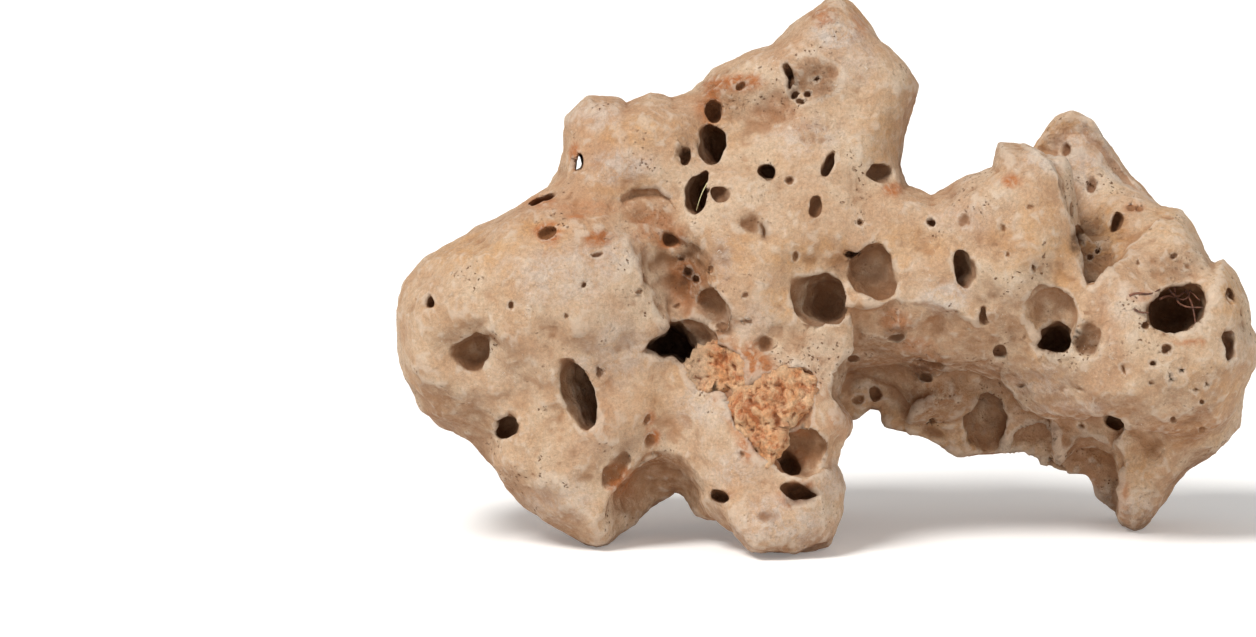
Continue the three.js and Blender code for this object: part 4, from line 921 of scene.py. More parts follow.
class StoneField:
    """The stone as a field of distances in drawn millimetres, below zero inside."""

    VIEW_START = -120.0
    MAP_CELL = 0.5
    MAP_LOW = (-170.0, -20.0)
    MAP_CELLS = (680, 460)

    # How features are brought to the skin: the most strides, the share of the way in one, the
    # least of it, and how near is near enough.
    STRIDES = 400
    STRIDE = 0.6
    LEAST_STRIDE = 0.05
    ON_SKIN = 0.02

    # Wear that pulls the edges about: heights, wavelengths, and the hole that takes all of it.
    WEAR_WIDE = (1.5, 15.0)
    WEAR_NARROW = (0.9, 4.6)
    WEAR_FULL = 3.6
    RIM_WEAR = (0.06, 0.05)

    # A bore reaches out of the skin, past its own half size. One that is shallower than DISH of
    # its half size is the bottom of a bore that is DISH_LIFT times as deep.
    PLUG_OUT = 4.0
    BORE_SPARE = 2.0
    RIM_SHARE = 0.4
    DISH = 0.8
    DISH_LIFT = 3.0
    OVER_PIT = 2.5

    # The earth's clods run together over EARTH_BLEND, and sit in a seat that is a little larger.
    EARTH_BLEND = 5.0
    SEAT_SPARE = 0.2
    SEAT_BLEND = 0.6

    def __init__(self, crisp: float, grain: Grain) -> None:
        """Land every feature on the skin.

        Args:
            crisp: rounding of sharp edges in the finished skin, in millimetres.
            grain: noise that wears the edges.
        """
        self.view = FrontView()
        self.grain = grain
        self.crisp = crisp
        self.outline_map = self._mapped_outline()
        self.scoops = self._landed(SCOOPS, self.mass)
        self.holes = {**BORES, **PITS}
        self.bores = self._landed(self.holes, self.carved)
        self.clods = {name: self._landed(rows, self.carved) for name, rows in EARTH.items()}

    def _mapped_outline(self) -> np.ndarray:
        """The outline's field on a fine grid, because every point asks for it."""
        right, high = (
            low + self.MAP_CELL * np.arange(count) for low, count in zip(self.MAP_LOW, self.MAP_CELLS)
        )
        grid = np.stack(np.meshgrid(right, high, indexing="ij"), -1).reshape(-1, 2)
        return line_field(grid, OUTLINE).reshape(self.MAP_CELLS)

    def outline(self, place: np.ndarray) -> np.ndarray:
        """The outline's field, read between the grid's points.

        Args:
            place: places in the front view.

        Returns:
            The field at those places.
        """
        q = (place - self.MAP_LOW) / self.MAP_CELL
        q = np.clip(q, 0, np.array(self.MAP_CELLS) - 1.001)
        i, j = np.floor(q).astype(int).T
        s, t = (q - np.floor(q)).T
        m = self.outline_map
        low = m[i, j] * (1 - s) + m[i + 1, j] * s
        return low * (1 - t) + (m[i, j + 1] * (1 - s) + m[i + 1, j + 1] * s) * t

    @staticmethod
    def undulation(p: np.ndarray) -> np.ndarray:
        """Knobs and dimples of a few millimetres, as the part's source has them.

        Args:
            p: points in drawn millimetres.

        Returns:
            The height of the knobs there.
        """
        x = p[:, 0] + 6 * np.sin(p[:, 2] / 19 + 1.3)
        y = p[:, 1] + 6 * np.sin(p[:, 0] / 23 + 0.4)
        z = p[:, 2] + 6 * np.sin(p[:, 1] / 17 + 2.1)
        broad = np.sin(x / 13) * np.sin(y / 11 + 1) * np.sin(z / 12 + 2)
        fine = np.sin(x / 6.1 + 2) * np.sin(y / 5.3) * np.sin(z / 5.7 + 1)
        return 2.4 * broad + 1.2 * fine

    def mass(self, p: np.ndarray) -> np.ndarray:
        """The field before anything is hollowed out.

        Args:
            p: points in drawn millimetres.

        Returns:
            The field at those points.
        """
        whole: np.ndarray | None = None
        for lump in LUMPS.values():
            one = ball_field(p, np.array(lump.at), lump.half, lump.lean)
            whole = one if whole is None else soft_union(whole, one, LUMP_BLEND)
        rim = RIM_SPARE - self.outline(self.view.place(p))
        return soft_cut(whole + self.undulation(p), rim, RIM_BLEND)

    def drift(self, p: np.ndarray) -> np.ndarray:
        """How far wear has pulled each place about, so that no edge is a drawn line.

        Args:
            p: points in drawn millimetres.

        Returns:
            The pull at each point, in millimetres along each axis.
        """
        pulls = []
        for axis in range(3):
            wide = self.grain.layer(p + 41.0 * axis, self.WEAR_WIDE)
            narrow = self.grain.layer(p + 67.0 * axis, self.WEAR_NARROW)
            pulls.append(wide + narrow)
        return np.stack(pulls, 1)

    def carved(
        self, p: np.ndarray, sharp: float = SOURCE_SHARP, drift: np.ndarray | None = None
    ) -> np.ndarray:
        """The field with its hollows and steps, but no holes.

        Args:
            p: points in drawn millimetres.
            sharp: rounding of the sharp edges.
            drift: how far the edges are pulled about at each point.

        Returns:
            The field at those points.
        """
        skin = self.mass(p)
        worn = p if drift is None else p + drift
        place = self.view.place(worn)
        whole = skin
        for scoop, landed in zip(SCOOPS.values(), self.scoops):
            near = self._near(p, landed.at, max(scoop.half) + SOFT)
            cut = ball_field(worn[near], landed.at, scoop.half, scoop.lean)
            whole = self._cut_at(whole, near, cut, scoop.blend or sharp)
        for step in STEPS.values():
            line = np.array(step.edge)
            near = np.all((place > line.min(0) - SOFT) & (place < line.max(0) + SOFT), axis=1)
            off = place[near] - step.edge[0]
            share = np.clip(1 - off @ np.array(step.fade), 0, 1)
            back = step.back + step.tilt * (step.edge[0][1] - place[near][:, 1])
            sheet = np.maximum(-step.sink * share - skin[near], worn[near][:, 1] - back)
            cut = np.maximum(line_field(place[near], step.edge), sheet)
            whole = self._cut_at(whole, near, cut, step.blend or sharp)
        return whole

    def bored(self, p: np.ndarray, drift: np.ndarray) -> np.ndarray:
        """The finished field, with its holes, pits and the seats of the earth.

        Args:
            p: points in drawn millimetres.
            drift: how far the edges are pulled about at each point.

        Returns:
            The field at those points.
        """
        whole = self.carved(p, self.crisp, drift)
        for (name, row), landed in zip(self.holes.items(), self.bores):
            out = self.PLUG_OUT + max(row.half)
            reach = math.hypot(max(row.half), max(row.deep, out)) + self.BORE_SPARE
            near = self._near(p, landed.at, reach)
            pull = min(1.0, min(row.half) / self.WEAR_FULL)
            worn = p[near] + pull * drift[near]
            cut = self._bore_field(worn, row, landed, out, sum(map(ord, name)))
            whole = self._cut_at(whole, near, cut, min(self.crisp, self.RIM_SHARE * min(row.half)))
        for name in EARTH:
            whole = soft_cut(whole, self.earth(p, name) - self.SEAT_SPARE, self.SEAT_BLEND)
        return whole

    def earth(self, p: np.ndarray, name: str) -> np.ndarray:
        """Field of one piece of red earth, its clods run together.

        Args:
            p: points in drawn millimetres.
            name: the piece's node.

        Returns:
            The field at those points.
        """
        whole: np.ndarray | None = None
        for clod, landed in zip(EARTH[name].values(), self.clods[name]):
            one = ball_field(p, landed.at, clod.half, clod.lean)
            whole = one if whole is None else soft_union(whole, one, self.EARTH_BLEND)
        return whole

    @staticmethod
    def _near(p: np.ndarray, at: np.ndarray, reach: float) -> np.ndarray:
        """Which points lie within reach of a place."""
        return ((p - at) ** 2).sum(1) < reach * reach

    @staticmethod
    def _cut_at(whole: np.ndarray, near: np.ndarray, cut: np.ndarray, blend: float) -> np.ndarray:
        """The field with a cut taken from the near points alone.

        Args:
            whole: the field at all points.
            near: which points the cut can reach.
            cut: the cut's field at those.
            blend: rounding of its edge in millimetres.

        Returns:
            The cut field at all points.
        """
        result = whole.copy()
        result[near] = soft_cut(whole[near], cut, blend)
        return result

    @classmethod
    def _bore_field(
        cls, p: np.ndarray, row: Bore, landed: Landed, out: float, seed: int
    ) -> np.ndarray:
        """Field of one bore, its rim worn a little out of round.

        Args:
            p: points in drawn millimetres.
            row: the bore's sizes.
            landed: its middle and ways.
            out: how far it reaches out of the skin.
            seed: sets the shape of its rim.

        Returns:
            About the distance to its wall, below zero inside.
        """
        off = p - landed.at
        a, b, w = off @ landed.across, off @ landed.along, off @ landed.inward
        turn = np.arctan2(b / row.half[1], a / row.half[0])
        oval, three = cls.RIM_WEAR
        wear = 1 + oval * np.sin(2 * turn + seed) + three * np.sin(3 * turn + 2 * seed)
        deep = row.deep
        if row.deep < cls.DISH * min(row.half):
            w = w + (cls.DISH_LIFT - 1) * row.deep
            deep = cls.DISH_LIFT * row.deep
            wear /= math.sqrt(1 - (1 - 1 / cls.DISH_LIFT) ** 2)
        half_a, half_b = row.half[0] * wear, row.half[1] * wear
        length = np.where(w > 0, deep, out)
        t = np.abs(w) / length
        value = (a / half_a) ** 2 + (b / half_b) ** 2 + t**row.blunt - 1
        slope = np.sqrt(
            (2 * a / half_a**2) ** 2
            + (2 * b / half_b**2) ** 2
            + (row.blunt * t ** (row.blunt - 1) / length) ** 2
        )
        return np.maximum(value / np.maximum(slope, LEAST_SLOPE), -min(row.half))

    def start(self, side: Side, seen: tuple[float, float]) -> tuple[np.ndarray, np.ndarray]:
        """Where a feature starts from on its way to the skin.

        Args:
            side: the side that its place is read on.
            seen: its place there.

        Returns:
            The far point over its place, and the way in from there.
        """
        u, v = seen
        if side is Side.FRONT:
            far = self.view.behind(seen, self.VIEW_START)
            way = self.view.behind(seen, 0.0) - far
            return far, way / np.linalg.norm(way)
        far, way = {
            Side.BACK: ((u, 150, v), (0, -1, 0)),
            Side.TOP: ((u, v, 250), (0, 0, -1)),
            Side.UNDER: ((u, v, -60), (0, 0, 1)),
            Side.LEFT: ((-220, u, v), (1, 0, 0)),
            Side.RIGHT: ((220, u, v), (-1, 0, 0)),
        }[side]
        return np.array(far, float), np.array(way, float)

    def walked(self, at: np.ndarray, ways: np.ndarray, skin: Field) -> np.ndarray:
        """Move points along their ways until they meet a skin.

        Args:
            at: the points, outside it.
            ways: each point's way.
            skin: the field that they walk to.

        Returns:
            The points on the skin.
        """
        at = at.copy()
        for _ in range(self.STRIDES):
            distance = skin(at)
            moving = distance > self.ON_SKIN
            if not moving.any():
                break
            stride = np.maximum(distance[moving] * self.STRIDE, self.LEAST_STRIDE)
            at[moving] += ways[moving] * stride[:, None]
        return at

    def _landed(self, rows: dict[str, Bore] | dict[str, Scoop], skin: Field) -> list[Landed]:
        """Bring features to a skin.

        Args:
            rows: the features by name.
            skin: the field that they land on.

        Returns:
            One landed feature per row, in the same order.
        """
        starts = [self.start(row.side, row.seen) for row in rows.values()]
        ways = np.array([way for _, way in starts])
        at = self.walked(np.array([far for far, _ in starts]), ways, skin)
        landed = []
        for row, spot, way in zip(rows.values(), at, ways):
            if isinstance(row, Scoop):
                landed.append(Landed(spot + way * row.sink))
            else:
                landed.append(self._aimed(row, spot, way))
        return landed

    def _aimed(self, row: Bore, at: np.ndarray, way: np.ndarray) -> Landed:
        """Turn and lean a bore about its way in.

        Args:
            row: the bore.
            at: its middle on the skin.
            way: the way that it is seen along.

        Returns:
            The landed bore.
        """
        right = np.cross(way, self.view.ahead if abs(way[2]) > 0.9 else self.view.up)
        right /= np.linalg.norm(right)
        rise = np.cross(right, way)
        lean = [math.tan(math.radians(angle)) for angle in row.lean]
        inward = way + right * lean[0] + rise * lean[1]
        inward /= np.linalg.norm(inward)
        side = right - inward * (right @ inward)
        side /= np.linalg.norm(side)
        top = np.cross(side, inward)
        cos, sin = math.cos(math.radians(row.turn)), math.sin(math.radians(row.turn))
        return Landed(at, side * cos + top * sin, top * cos - side * sin, inward)

    def dropped(self, p: np.ndarray) -> np.ndarray:
        """Points over the mouths of the small pits, set down on the pits' floors.

        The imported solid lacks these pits, and a point over the middle of one would see no slope.

        Args:
            p: points near the skin, in drawn millimetres.

        Returns:
            The points, with those over a pit moved down into it.
        """
        p = p.copy()
        for row, landed in zip(PITS.values(), self.bores[len(BORES) :]):
            near = np.flatnonzero(self._near(p, landed.at, max(row.half) + self.OVER_PIT))
            off = p[near] - landed.at
            a, b, w = off @ landed.across, off @ landed.along, off @ landed.inward
            inside = 1 - (a / row.half[0]) ** 2 - (b / row.half[1]) ** 2
            floor = row.deep * np.clip(inside, 0, 1) ** (1 / row.blunt)
            over = (inside > 0) & (np.abs(w) < self.OVER_PIT) & (w < floor)
            p[near[over]] += (floor - w)[over, None] * landed.inward
        return p

    def settled(self, p: np.ndarray, skin: WornField, passes: int, most: float = 1.6) -> np.ndarray:
        """Move points onto a field's skin.

        Args:
            p: points in drawn millimetres.
            skin: the field, of points and their drift.
            passes: how many times they move.
            most: the longest move of one pass.

        Returns:
            The moved points.
        """
        for _ in range(passes):
            value, slope = self.sloped(p, skin)
            steep = np.maximum((slope**2).sum(1), 0.09)
            p = p - (np.clip(value, -most, most) / steep)[:, None] * slope
        return p

    def sloped(
        self, p: np.ndarray, skin: WornField, gap: float = 0.08
    ) -> tuple[np.ndarray, np.ndarray]:
        """A field and its slope.

        Args:
            p: points in drawn millimetres.
            skin: the field, of points and their drift.
            gap: how far apart it is read to find the slope.

        Returns:
            The field and its slope at those points.
        """
        drift = self.drift(p)
        value = skin(p, drift)
        steps = np.eye(3) * gap
        slope = np.stack([(skin(p + step, drift) - value) / gap for step in steps], 1)
        return value, slope


def outward_of(slope: np.ndarray) -> np.ndarray:
    """The way out of the skin at each point, from the field's slope there."""
    return slope / np.maximum(np.linalg.norm(slope, axis=1), LEAST_SLOPE)[:, None]


# A patch is gone at PATCH_END of its half size, and starts to fade PATCH_FADE inside that.
PATCH_END = 1.35
PATCH_FADE = 0.85

# Patches are read in front, and fade out over this depth, in drawn millimetres along Y.
PATCH_DEPTH = 14.0
SCATTER_STRENGTH = 0.6

# How rare each tone is on the sides that the photograph does not show: more is rarer.
SCATTER_START = {
    Tone.IRON: 0.52,
    Tone.DIRT: 0.3,
    Tone.OCHRE: 0.05,
    Tone.BLOOM: 0.1,
    Tone.ROUGH: 0.28,
    Tone.DARK: 0.6,
}


def patch_strength(shape: StoneField, grain: Grain, p: np.ndarray, tone: Tone) -> np.ndarray:
    """How strongly points carry a tone: from the named patches in front, scattered behind.

    Args:
        shape: the stone's field, for its front view.
        grain: noise that frays the edges.
        p: points in drawn millimetres.
        tone: the tone asked for.

    Returns:
        One share from 0 to 1 for each point.
    """
    place = shape.view.place(p)
    fray = 1 + 0.35 * grain.smooth(p, 9.0) + 0.2 * grain.smooth(p, 3.5)
    strongest = np.zeros(len(p))
    for patch in PATCHES[tone].values():
        reach = np.hypot(*((place - patch.seen) / patch.half).T) * fray
        share = np.clip((PATCH_END - reach) / PATCH_FADE, 0, 1)
        strongest = np.maximum(strongest, patch.strength * share * share * (3 - 2 * share))
    front = np.clip((PATCH_DEPTH - p[:, 1]) / PATCH_DEPTH, 0, 1)
    order = list(Tone).index(tone)
    wide = grain.smooth(p + 70.0 * (order + 1), 30.0) + 0.4 * grain.smooth(p - 50.0 * order, 11.0)
    scattered = np.clip((wide - SCATTER_START[tone]) / 0.35, 0, 1) * SCATTER_STRENGTH
    return np.maximum(strongest * front, scattered * (1 - 0.85 * front))


# Meshes


def read_points(mesh: bpy.types.Mesh) -> np.ndarray:
    """Read a mesh's points.

    Args:
        mesh: the mesh.

    Returns:
        The points in metres, one per row.
    """
    flat = np.empty(len(mesh.vertices) * 3)
    mesh.vertices.foreach_get("co", flat)
    return flat.reshape(-1, 3)


def write_points(mesh: bpy.types.Mesh, points: np.ndarray) -> None:
    """Put points in metres into a mesh."""
    mesh.vertices.foreach_set("co", points.astype(np.float32).ravel())
    mesh.update()


def read_normals(mesh: bpy.types.Mesh) -> np.ndarray:
    """Read the normals of a mesh's points.

    Args:
        mesh: the mesh.

    Returns:
        The normals, one per row.
    """
    flat = np.empty(len(mesh.vertices) * 3, np.float32)
    mesh.vertex_normals.foreach_get("vector", flat)
    return flat.reshape(-1, 3)


def to_drawn(points: np.ndarray) -> np.ndarray:
    """From metres in the frame to the millimetres that the source draws in."""
    return (points / MM - PART_SHIFT) / PART_SCALE


def to_frame(points: np.ndarray) -> np.ndarray:
    """From the source's millimetres to metres in the frame."""
    return (points * PART_SCALE + PART_SHIFT) * MM


def new_piece(name: str, mesh: bpy.types.Mesh) -> bpy.types.Object:
    """Put a mesh into the scene as an object at the origin.

    Args:
        name: the object's name.
        mesh: its mesh, in metres in the frame.

    Returns:
        The object.
    """
    piece = bpy.data.objects.new(name, mesh)
    bpy.context.scene.collection.objects.link(piece)
    return piece


def merged_copy(node: bpy.types.Object, name: str) -> bpy.types.Object:
    """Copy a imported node's mesh and merge its loose triangles.

    Args:
        node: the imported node, which is left alone.
        name: the copy's name.

    Returns:
        The new object, with its place in its mesh.
    """
    shell = bmesh.new()
    shell.from_mesh(node.data)
    bmesh.ops.remove_doubles(shell, verts=shell.verts, dist=MERGE_NEAR)
    mesh = bpy.data.meshes.new(name)
    shell.to_mesh(mesh)
    shell.free()
    return new_piece(name, mesh)


def with_modifier(piece: bpy.types.Object, kind: str, **settings: object) -> None:
    """Put one modifier on a piece and keep its result as the piece's mesh.

    Args:
        piece: the piece.
        kind: the modifier's type.
        settings: its settings by name.
    """
    modifier = piece.modifiers.new(kind.lower(), kind)
    for name, value in settings.items():
        setattr(modifier, name, value)
    graph = bpy.context.evaluated_depsgraph_get()
    finished = bpy.data.meshes.new_from_object(piece.evaluated_get(graph))
    spent = piece.data
    piece.modifiers.clear()
    piece.data = finished
    name = spent.name
    bpy.data.meshes.remove(spent)
    finished.name = name


def shaded_smooth(mesh: bpy.types.Mesh) -> None:
    """Shade every face of a mesh smooth."""
    mesh.polygons.foreach_set("use_smooth", np.ones(len(mesh.polygons), bool))
    mesh.update()


def dress(mesh: bpy.types.Mesh, material: bpy.types.Material) -> None:
    """Give a mesh one material in place of what it has."""
    mesh.materials.clear()
    mesh.materials.append(material)


def store(mesh: bpy.types.Mesh, name: str, values: np.ndarray) -> None:
    """Keep one number for each point of a mesh, for its material to read."""
    layer = mesh.attributes.get(name) or mesh.attributes.new(name, "FLOAT", "POINT")
    layer.data.foreach_set("value", values.astype(np.float32))


def relief_of(mesh: bpy.types.Mesh, passes: int) -> np.ndarray:
    """How far each point stands out from its smoothed surroundings.

    Args:
        mesh: the mesh.
        passes: how many times the surroundings are smoothed.

    Returns:
        One height for each point, in millimetres.
    """
    points = read_points(mesh) / MM
    ends = np.empty(len(mesh.edges) * 2, np.int32)
    mesh.edges.foreach_get("vertices", ends)
    a, b = ends.reshape(-1, 2).T
    count = np.bincount(a, minlength=len(points)) + np.bincount(b, minlength=len(points))
    count = np.maximum(count, 1)[:, None]
    smoothed = points.copy()
    for _ in range(passes):
        total = np.stack(
            [
                np.bincount(a, smoothed[b, axis], len(points))
                + np.bincount(b, smoothed[a, axis], len(points))
                for axis in range(3)
            ],
            1,
        )
        smoothed = 0.4 * smoothed + 0.6 * total / count
    return ((points - smoothed) * read_normals(mesh)).sum(1)


# Finishes


def srgb(red: int, green: int, blue: int) -> Colour:
    """Turn a colour as a picture shows it into the linear one that shaders take.

    Args:
        red: its red, from 0 to 255.
        green: its green.
        blue: its blue.

    Returns:
        The linear colour.
    """
    linear = [
        part / 12.92 if part <= 0.04045 else ((part + 0.055) / 1.055) ** 2.4
        for part in (red / 255, green / 255, blue / 255)
    ]
    return (*linear, 1.0)


class Graph:
    """A material's nodes, with a few helpers that keep the finishes short."""

    def __init__(self, name: str) -> None:
        """Start a material with its shader, output and object coordinates.

        Args:
            name: the material's name.
        """
        self.material = bpy.data.materials.new(name)
        self.material.use_nodes = True
        self.tree = self.material.node_tree
        self.shader = self.tree.nodes["Principled BSDF"]
        self.place = self.tree.nodes.new("ShaderNodeTexCoord").outputs["Object"]

    def link(self, start: Socket, end: Socket) -> None:
        """Join two sockets."""
        self.tree.links.new(start, end)

    def feed(self, socket: Socket, value: Value) -> None:
        """Put a number, a colour or another node's output into a socket."""
        if isinstance(value, Socket):
            self.link(value, socket)
        else:
            socket.default_value = value

    def finish(self, rough: Value, gloss: float) -> None:
        """Set how rough the shader is and how strong its gloss."""
        self.feed(self.shader.inputs["Roughness"], rough)
        self.shader.inputs["Specular IOR Level"].default_value = gloss

    def attribute(self, name: str) -> Socket:
        """A number kept on the piece's points."""
        node = self.tree.nodes.new("ShaderNodeAttribute")
        node.attribute_name = name
        return node.outputs["Fac"]

    def noise(
        self, scale: float, detail: float = 4.0, rough: float = 0.55, bend: float = 0.0
    ) -> Socket:
        """Cloudy noise from 0 to 1.

        Args:
            scale: patches per metre.
            detail: how many finer layers it has.
            rough: how strong the finer layers are.
            bend: how far it is pulled about.

        Returns:
            The noise's number.
        """
        node = self.tree.nodes.new("ShaderNodeTexNoise")
        node.inputs["Scale"].default_value = scale
        node.inputs["Detail"].default_value = detail
        node.inputs["Roughness"].default_value = rough
        node.inputs["Distortion"].default_value = bend
        self.link(self.place, node.inputs["Vector"])
        return node.outputs["Fac"]

    def cells(self, scale: float, bend: float) -> Socket:
        """Distance to the nearest of scattered points, in cells.

        Args:
            scale: cells per metre.
            bend: how far the cells are pulled out of shape, in cells.

        Returns:
            The distance.
        """
        pull = self.tree.nodes.new("ShaderNodeTexNoise")
        pull.inputs["Scale"].default_value = scale * 1.3
        self.link(self.place, pull.inputs["Vector"])
        shift = self.tree.nodes.new("ShaderNodeVectorMath")
        shift.operation = "MULTIPLY_ADD"
        self.link(pull.outputs["Color"], shift.inputs[0])
        shift.inputs[1].default_value = (bend * 2 / scale,) * 3
        self.link(self.place, shift.inputs[2])
        node = self.tree.nodes.new("ShaderNodeTexVoronoi")
        node.inputs["Scale"].default_value = scale
        self.link(shift.outputs[0], node.inputs["Vector"])
        return node.outputs["Distance"]

    def spread(
        self, value: Value, low: float, high: float, start: float = 0.0, end: float = 1.0
    ) -> Socket:
        """Map a number's range onto another one, smoothly and clamped.

        Args:
            value: the number to map.
            low: its value at the start.
            high: its value at the end.
            start: what low becomes.
            end: what high becomes.

        Returns:
            The mapped number.
        """
        node = self.tree.nodes.new("ShaderNodeMapRange")
        node.interpolation_type = "SMOOTHSTEP"
        node.inputs["From Min"].default_value = low
        node.inputs["From Max"].default_value = high
        node.inputs["To Min"].default_value = start
        node.inputs["To Max"].default_value = end
        self.feed(node.inputs["Value"], value)
        return node.outputs["Result"]

    def _reckoned(self, operation: str, a: Value, b: Value) -> Socket:
        """The result of one step of arithmetic on two numbers."""
        node = self.tree.nodes.new("ShaderNodeMath")
        node.operation = operation
        self.feed(node.inputs[0], a)
        self.feed(node.inputs[1], b)
        return node.outputs[0]

    def times(self, a: Value, b: Value) -> Socket:
        """One number times another."""
        return self._reckoned("MULTIPLY", a, b)

    def larger(self, a: Value, b: Value) -> Socket:
        """The larger of two numbers."""
        return self._reckoned("MAXIMUM", a, b)

    def inverse(self, value: Value) -> Socket:
        """What a number lacks of 1."""
        return self._reckoned("SUBTRACT", 1.0, value)

    def mixed(self, share: Value, a: Value, b: Value, way: str = "MIX") -> Socket:
        """Blend two colours.

        Args:
            share: how much of the second.
            a: first colour.
            b: second colour.
            way: the blend's name.

        Returns:
            The blended colour.
        """
        node = self.tree.nodes.new("ShaderNodeMix")
        node.data_type = "RGBA"
        node.blend_type = way
        self.feed(node.inputs["Factor"], share)
        self.feed(node.inputs[6], a)
        self.feed(node.inputs[7], b)
        return node.outputs[2]

    def shaded(self, base: Socket, light: Socket) -> Socket:
        """Darken or lighten a colour by a number around 1.

        Args:
            base: the colour.
            light: the number.

        Returns:
            The shaded colour.
        """
        grey = self.tree.nodes.new("ShaderNodeCombineColor")
        for name in ("Red", "Green", "Blue"):
            self.link(light, grey.inputs[name])
        return self.mixed(0.9, base, grey.outputs["Color"], "MULTIPLY")

    def bump(self, height: Socket, distance: float, under: Socket | None = None) -> Socket:
        """Turn a height into a bent normal.

        Args:
            height: the height, from 0 to 1.
            distance: what a height of 1 stands for, in metres.
            under: a normal that is already bent.

        Returns:
            The normal.
        """
        node = self.tree.nodes.new("ShaderNodeBump")
        node.inputs["Distance"].default_value = distance
        node.inputs["Strength"].default_value = 1.0
        self.link(height, node.inputs["Height"])
        if under is not None:
            self.link(under, node.inputs["Normal"])
        return node.outputs["Normal"]


@dataclass(frozen=True)
class LimestoneFinish:
    """Dry water-worn limestone: tan, with grey bloom, ochre, iron stains, dirty hollows that are partly
    painted shade, painted shade in pits, creases and on undersides, and edges paler partly from wear and
    partly from a painted highlight.
    """

    tan: Shade = (196, 158, 124)
    pale: Shade = (212, 186, 158)
    rosy: Shade = (184, 140, 106)
    bloom: Shade = (208, 194, 182)
    ochre: Shade = (202, 150, 94)
    # Dirt, also laid as painted shade on undersides, deep in hollows and in creases.
    dirt: Shade = (156, 106, 68)
    # Painted shade in pinholes, pits and deep hollows.
    deep: Shade = (122, 80, 48)
    # Painted shade at its darkest, in holes, hollows and on undersides.
    shade: Shade = (84, 54, 34)
    iron: Shade = (208, 134, 80)
    iron_dark: Shade = (152, 88, 52)
    # Paler edges: partly wear, partly a painted highlight.
    worn: Shade = (224, 206, 186)
    fleck: Shade = (236, 228, 216)

    def material(self) -> bpy.types.Material:
        """Build the material; it reads the attributes that the stone keeps on its points.

        Returns:
            The material.
        """
        g = Graph("limestone")
        base = self._ground(g)
        base = self._marks(g, base)
        holes = self._pores(g)
        # Painted shade in the pinholes.
        base = g.mixed(g.times(holes, 0.9), base, srgb(*self.deep))
        g.link(base, g.shader.inputs["Base Color"])
        g.finish(rough=g.spread(g.noise(260, 4), 0.3, 0.7, 0.66, 0.9), gloss=0.2)
        g.link(self._grain(g, holes), g.shader.inputs["Normal"])
        return g.material

    def _ground(self, g: Graph) -> Socket:
        """The stone's own colours, in clouds of three sizes.

        Args:
            g: the material's nodes.

        Returns:
            The colour.
        """
        cloud = g.spread(g.noise(60, 7, 0.68, 0.5), 0.34, 0.66)
        base = g.mixed(cloud, srgb(*self.tan), srgb(*self.pale))
        blush = g.spread(g.noise(20, 7, 0.6, 0.8), 0.45, 0.68, 0.0, 0.7)
        base = g.mixed(blush, base, srgb(*self.rosy))
        fade = g.spread(g.noise(150, 5, 0.65, 0.6), 0.36, 0.64, 0.15, 1.0)
        base = g.mixed(g.times(g.attribute("ochre"), fade), base, srgb(*self.ochre))
        veil = g.spread(g.noise(210, 6, 0.72, 0.8), 0.36, 0.62, 0.1, 1.0)
        base = g.mixed(g.times(g.attribute("bloom"), veil), base, srgb(*self.bloom))
        return g.shaded(base, g.spread(g.noise(900, 6, 0.82, 0.4), 0.3, 0.7, 0.8, 1.2))

    def _marks(self, g: Graph, base: Socket) -> Socket:
        """Dirt, iron, painted shade in hollows, pits, creases and on undersides, and paler edges, partly
        wear and partly a painted highlight, over the ground colours.

        Args:
            g: the material's nodes.
            base: the ground colours.

        Returns:
            The marked colour.
        """
        # Dirt and painted shade in one tone: stronger deep in hollows and on faces that look down.
        patchy = g.spread(g.noise(330, 6, 0.75, 0.5), 0.36, 0.6, 0.3, 1.0)
        base = g.mixed(g.times(g.attribute("dirt"), patchy), base, srgb(*self.dirt))
        rust = g.mixed(g.noise(420, 4, 0.6), srgb(*self.iron), srgb(*self.iron_dark))
        stain = g.spread(g.noise(290, 6, 0.75, 0.8), 0.34, 0.58, 0.25, 1.0)
        base = g.mixed(g.times(g.attribute("iron"), stain), base, rust)
        # Painted shade in creases, in the dirt colour.
        base = g.mixed(g.spread(g.attribute("crease_shade"), 0.1, 0.9, 0.0, 0.5), base, srgb(*self.dirt))
        # Paler edges: partly wear, partly a painted highlight.
        base = g.mixed(g.spread(g.attribute("edge"), 0.25, 0.9, 0.0, 0.45), base, srgb(*self.worn))
        # Painted shade, darker the deeper a hollow goes under the stone's mass.
        base = g.mixed(g.spread(g.attribute("depth"), 5.0, 24.0, 0.0, 0.7), base, srgb(*self.deep))
        # Painted shade inside holes and pits.
        base = g.mixed(g.spread(g.attribute("pit"), 0.0, 1.0, 0.0, 0.7), base, srgb(*self.deep))
        # Painted shade at its darkest, from the dark patches and the faces that look down.
        ragged = g.spread(g.noise(240, 6, 0.7, 0.6), 0.3, 0.6, 0.45, 1.0)
        base = g.mixed(g.times(g.attribute("dark"), ragged), base, srgb(*self.shade))
        outer = g.spread(g.attribute("depth"), 3.0, 7.0, 1.0, 0.0)
        spots = g.times(g.spread(g.noise(70, 4, 0.6), 0.5, 0.64), outer)
        chips = g.times(g.spread(g.noise(620, 5, 0.8, 1.5), 0.6, 0.68), spots)
        return g.mixed(g.times(chips, 0.8), base, srgb(*self.fleck))

    def _pores(self, g: Graph) -> Socket:
        """Pinholes in loose groups.

        Args:
            g: the material's nodes.

        Returns:
            A number that is 1 where a hole is deepest.
        """
        grouped = g.spread(g.noise(60, 4, 0.6, 0.5), 0.52, 0.66)
        grouped = g.larger(grouped, g.times(g.attribute("rough"), 0.6))
        small = g.times(g.spread(g.cells(520, 0.5), 0.26, 0.12), grouped)
        wide = g.times(g.spread(g.cells(230, 0.6), 0.17, 0.08), grouped)
        return g.larger(small, wide)

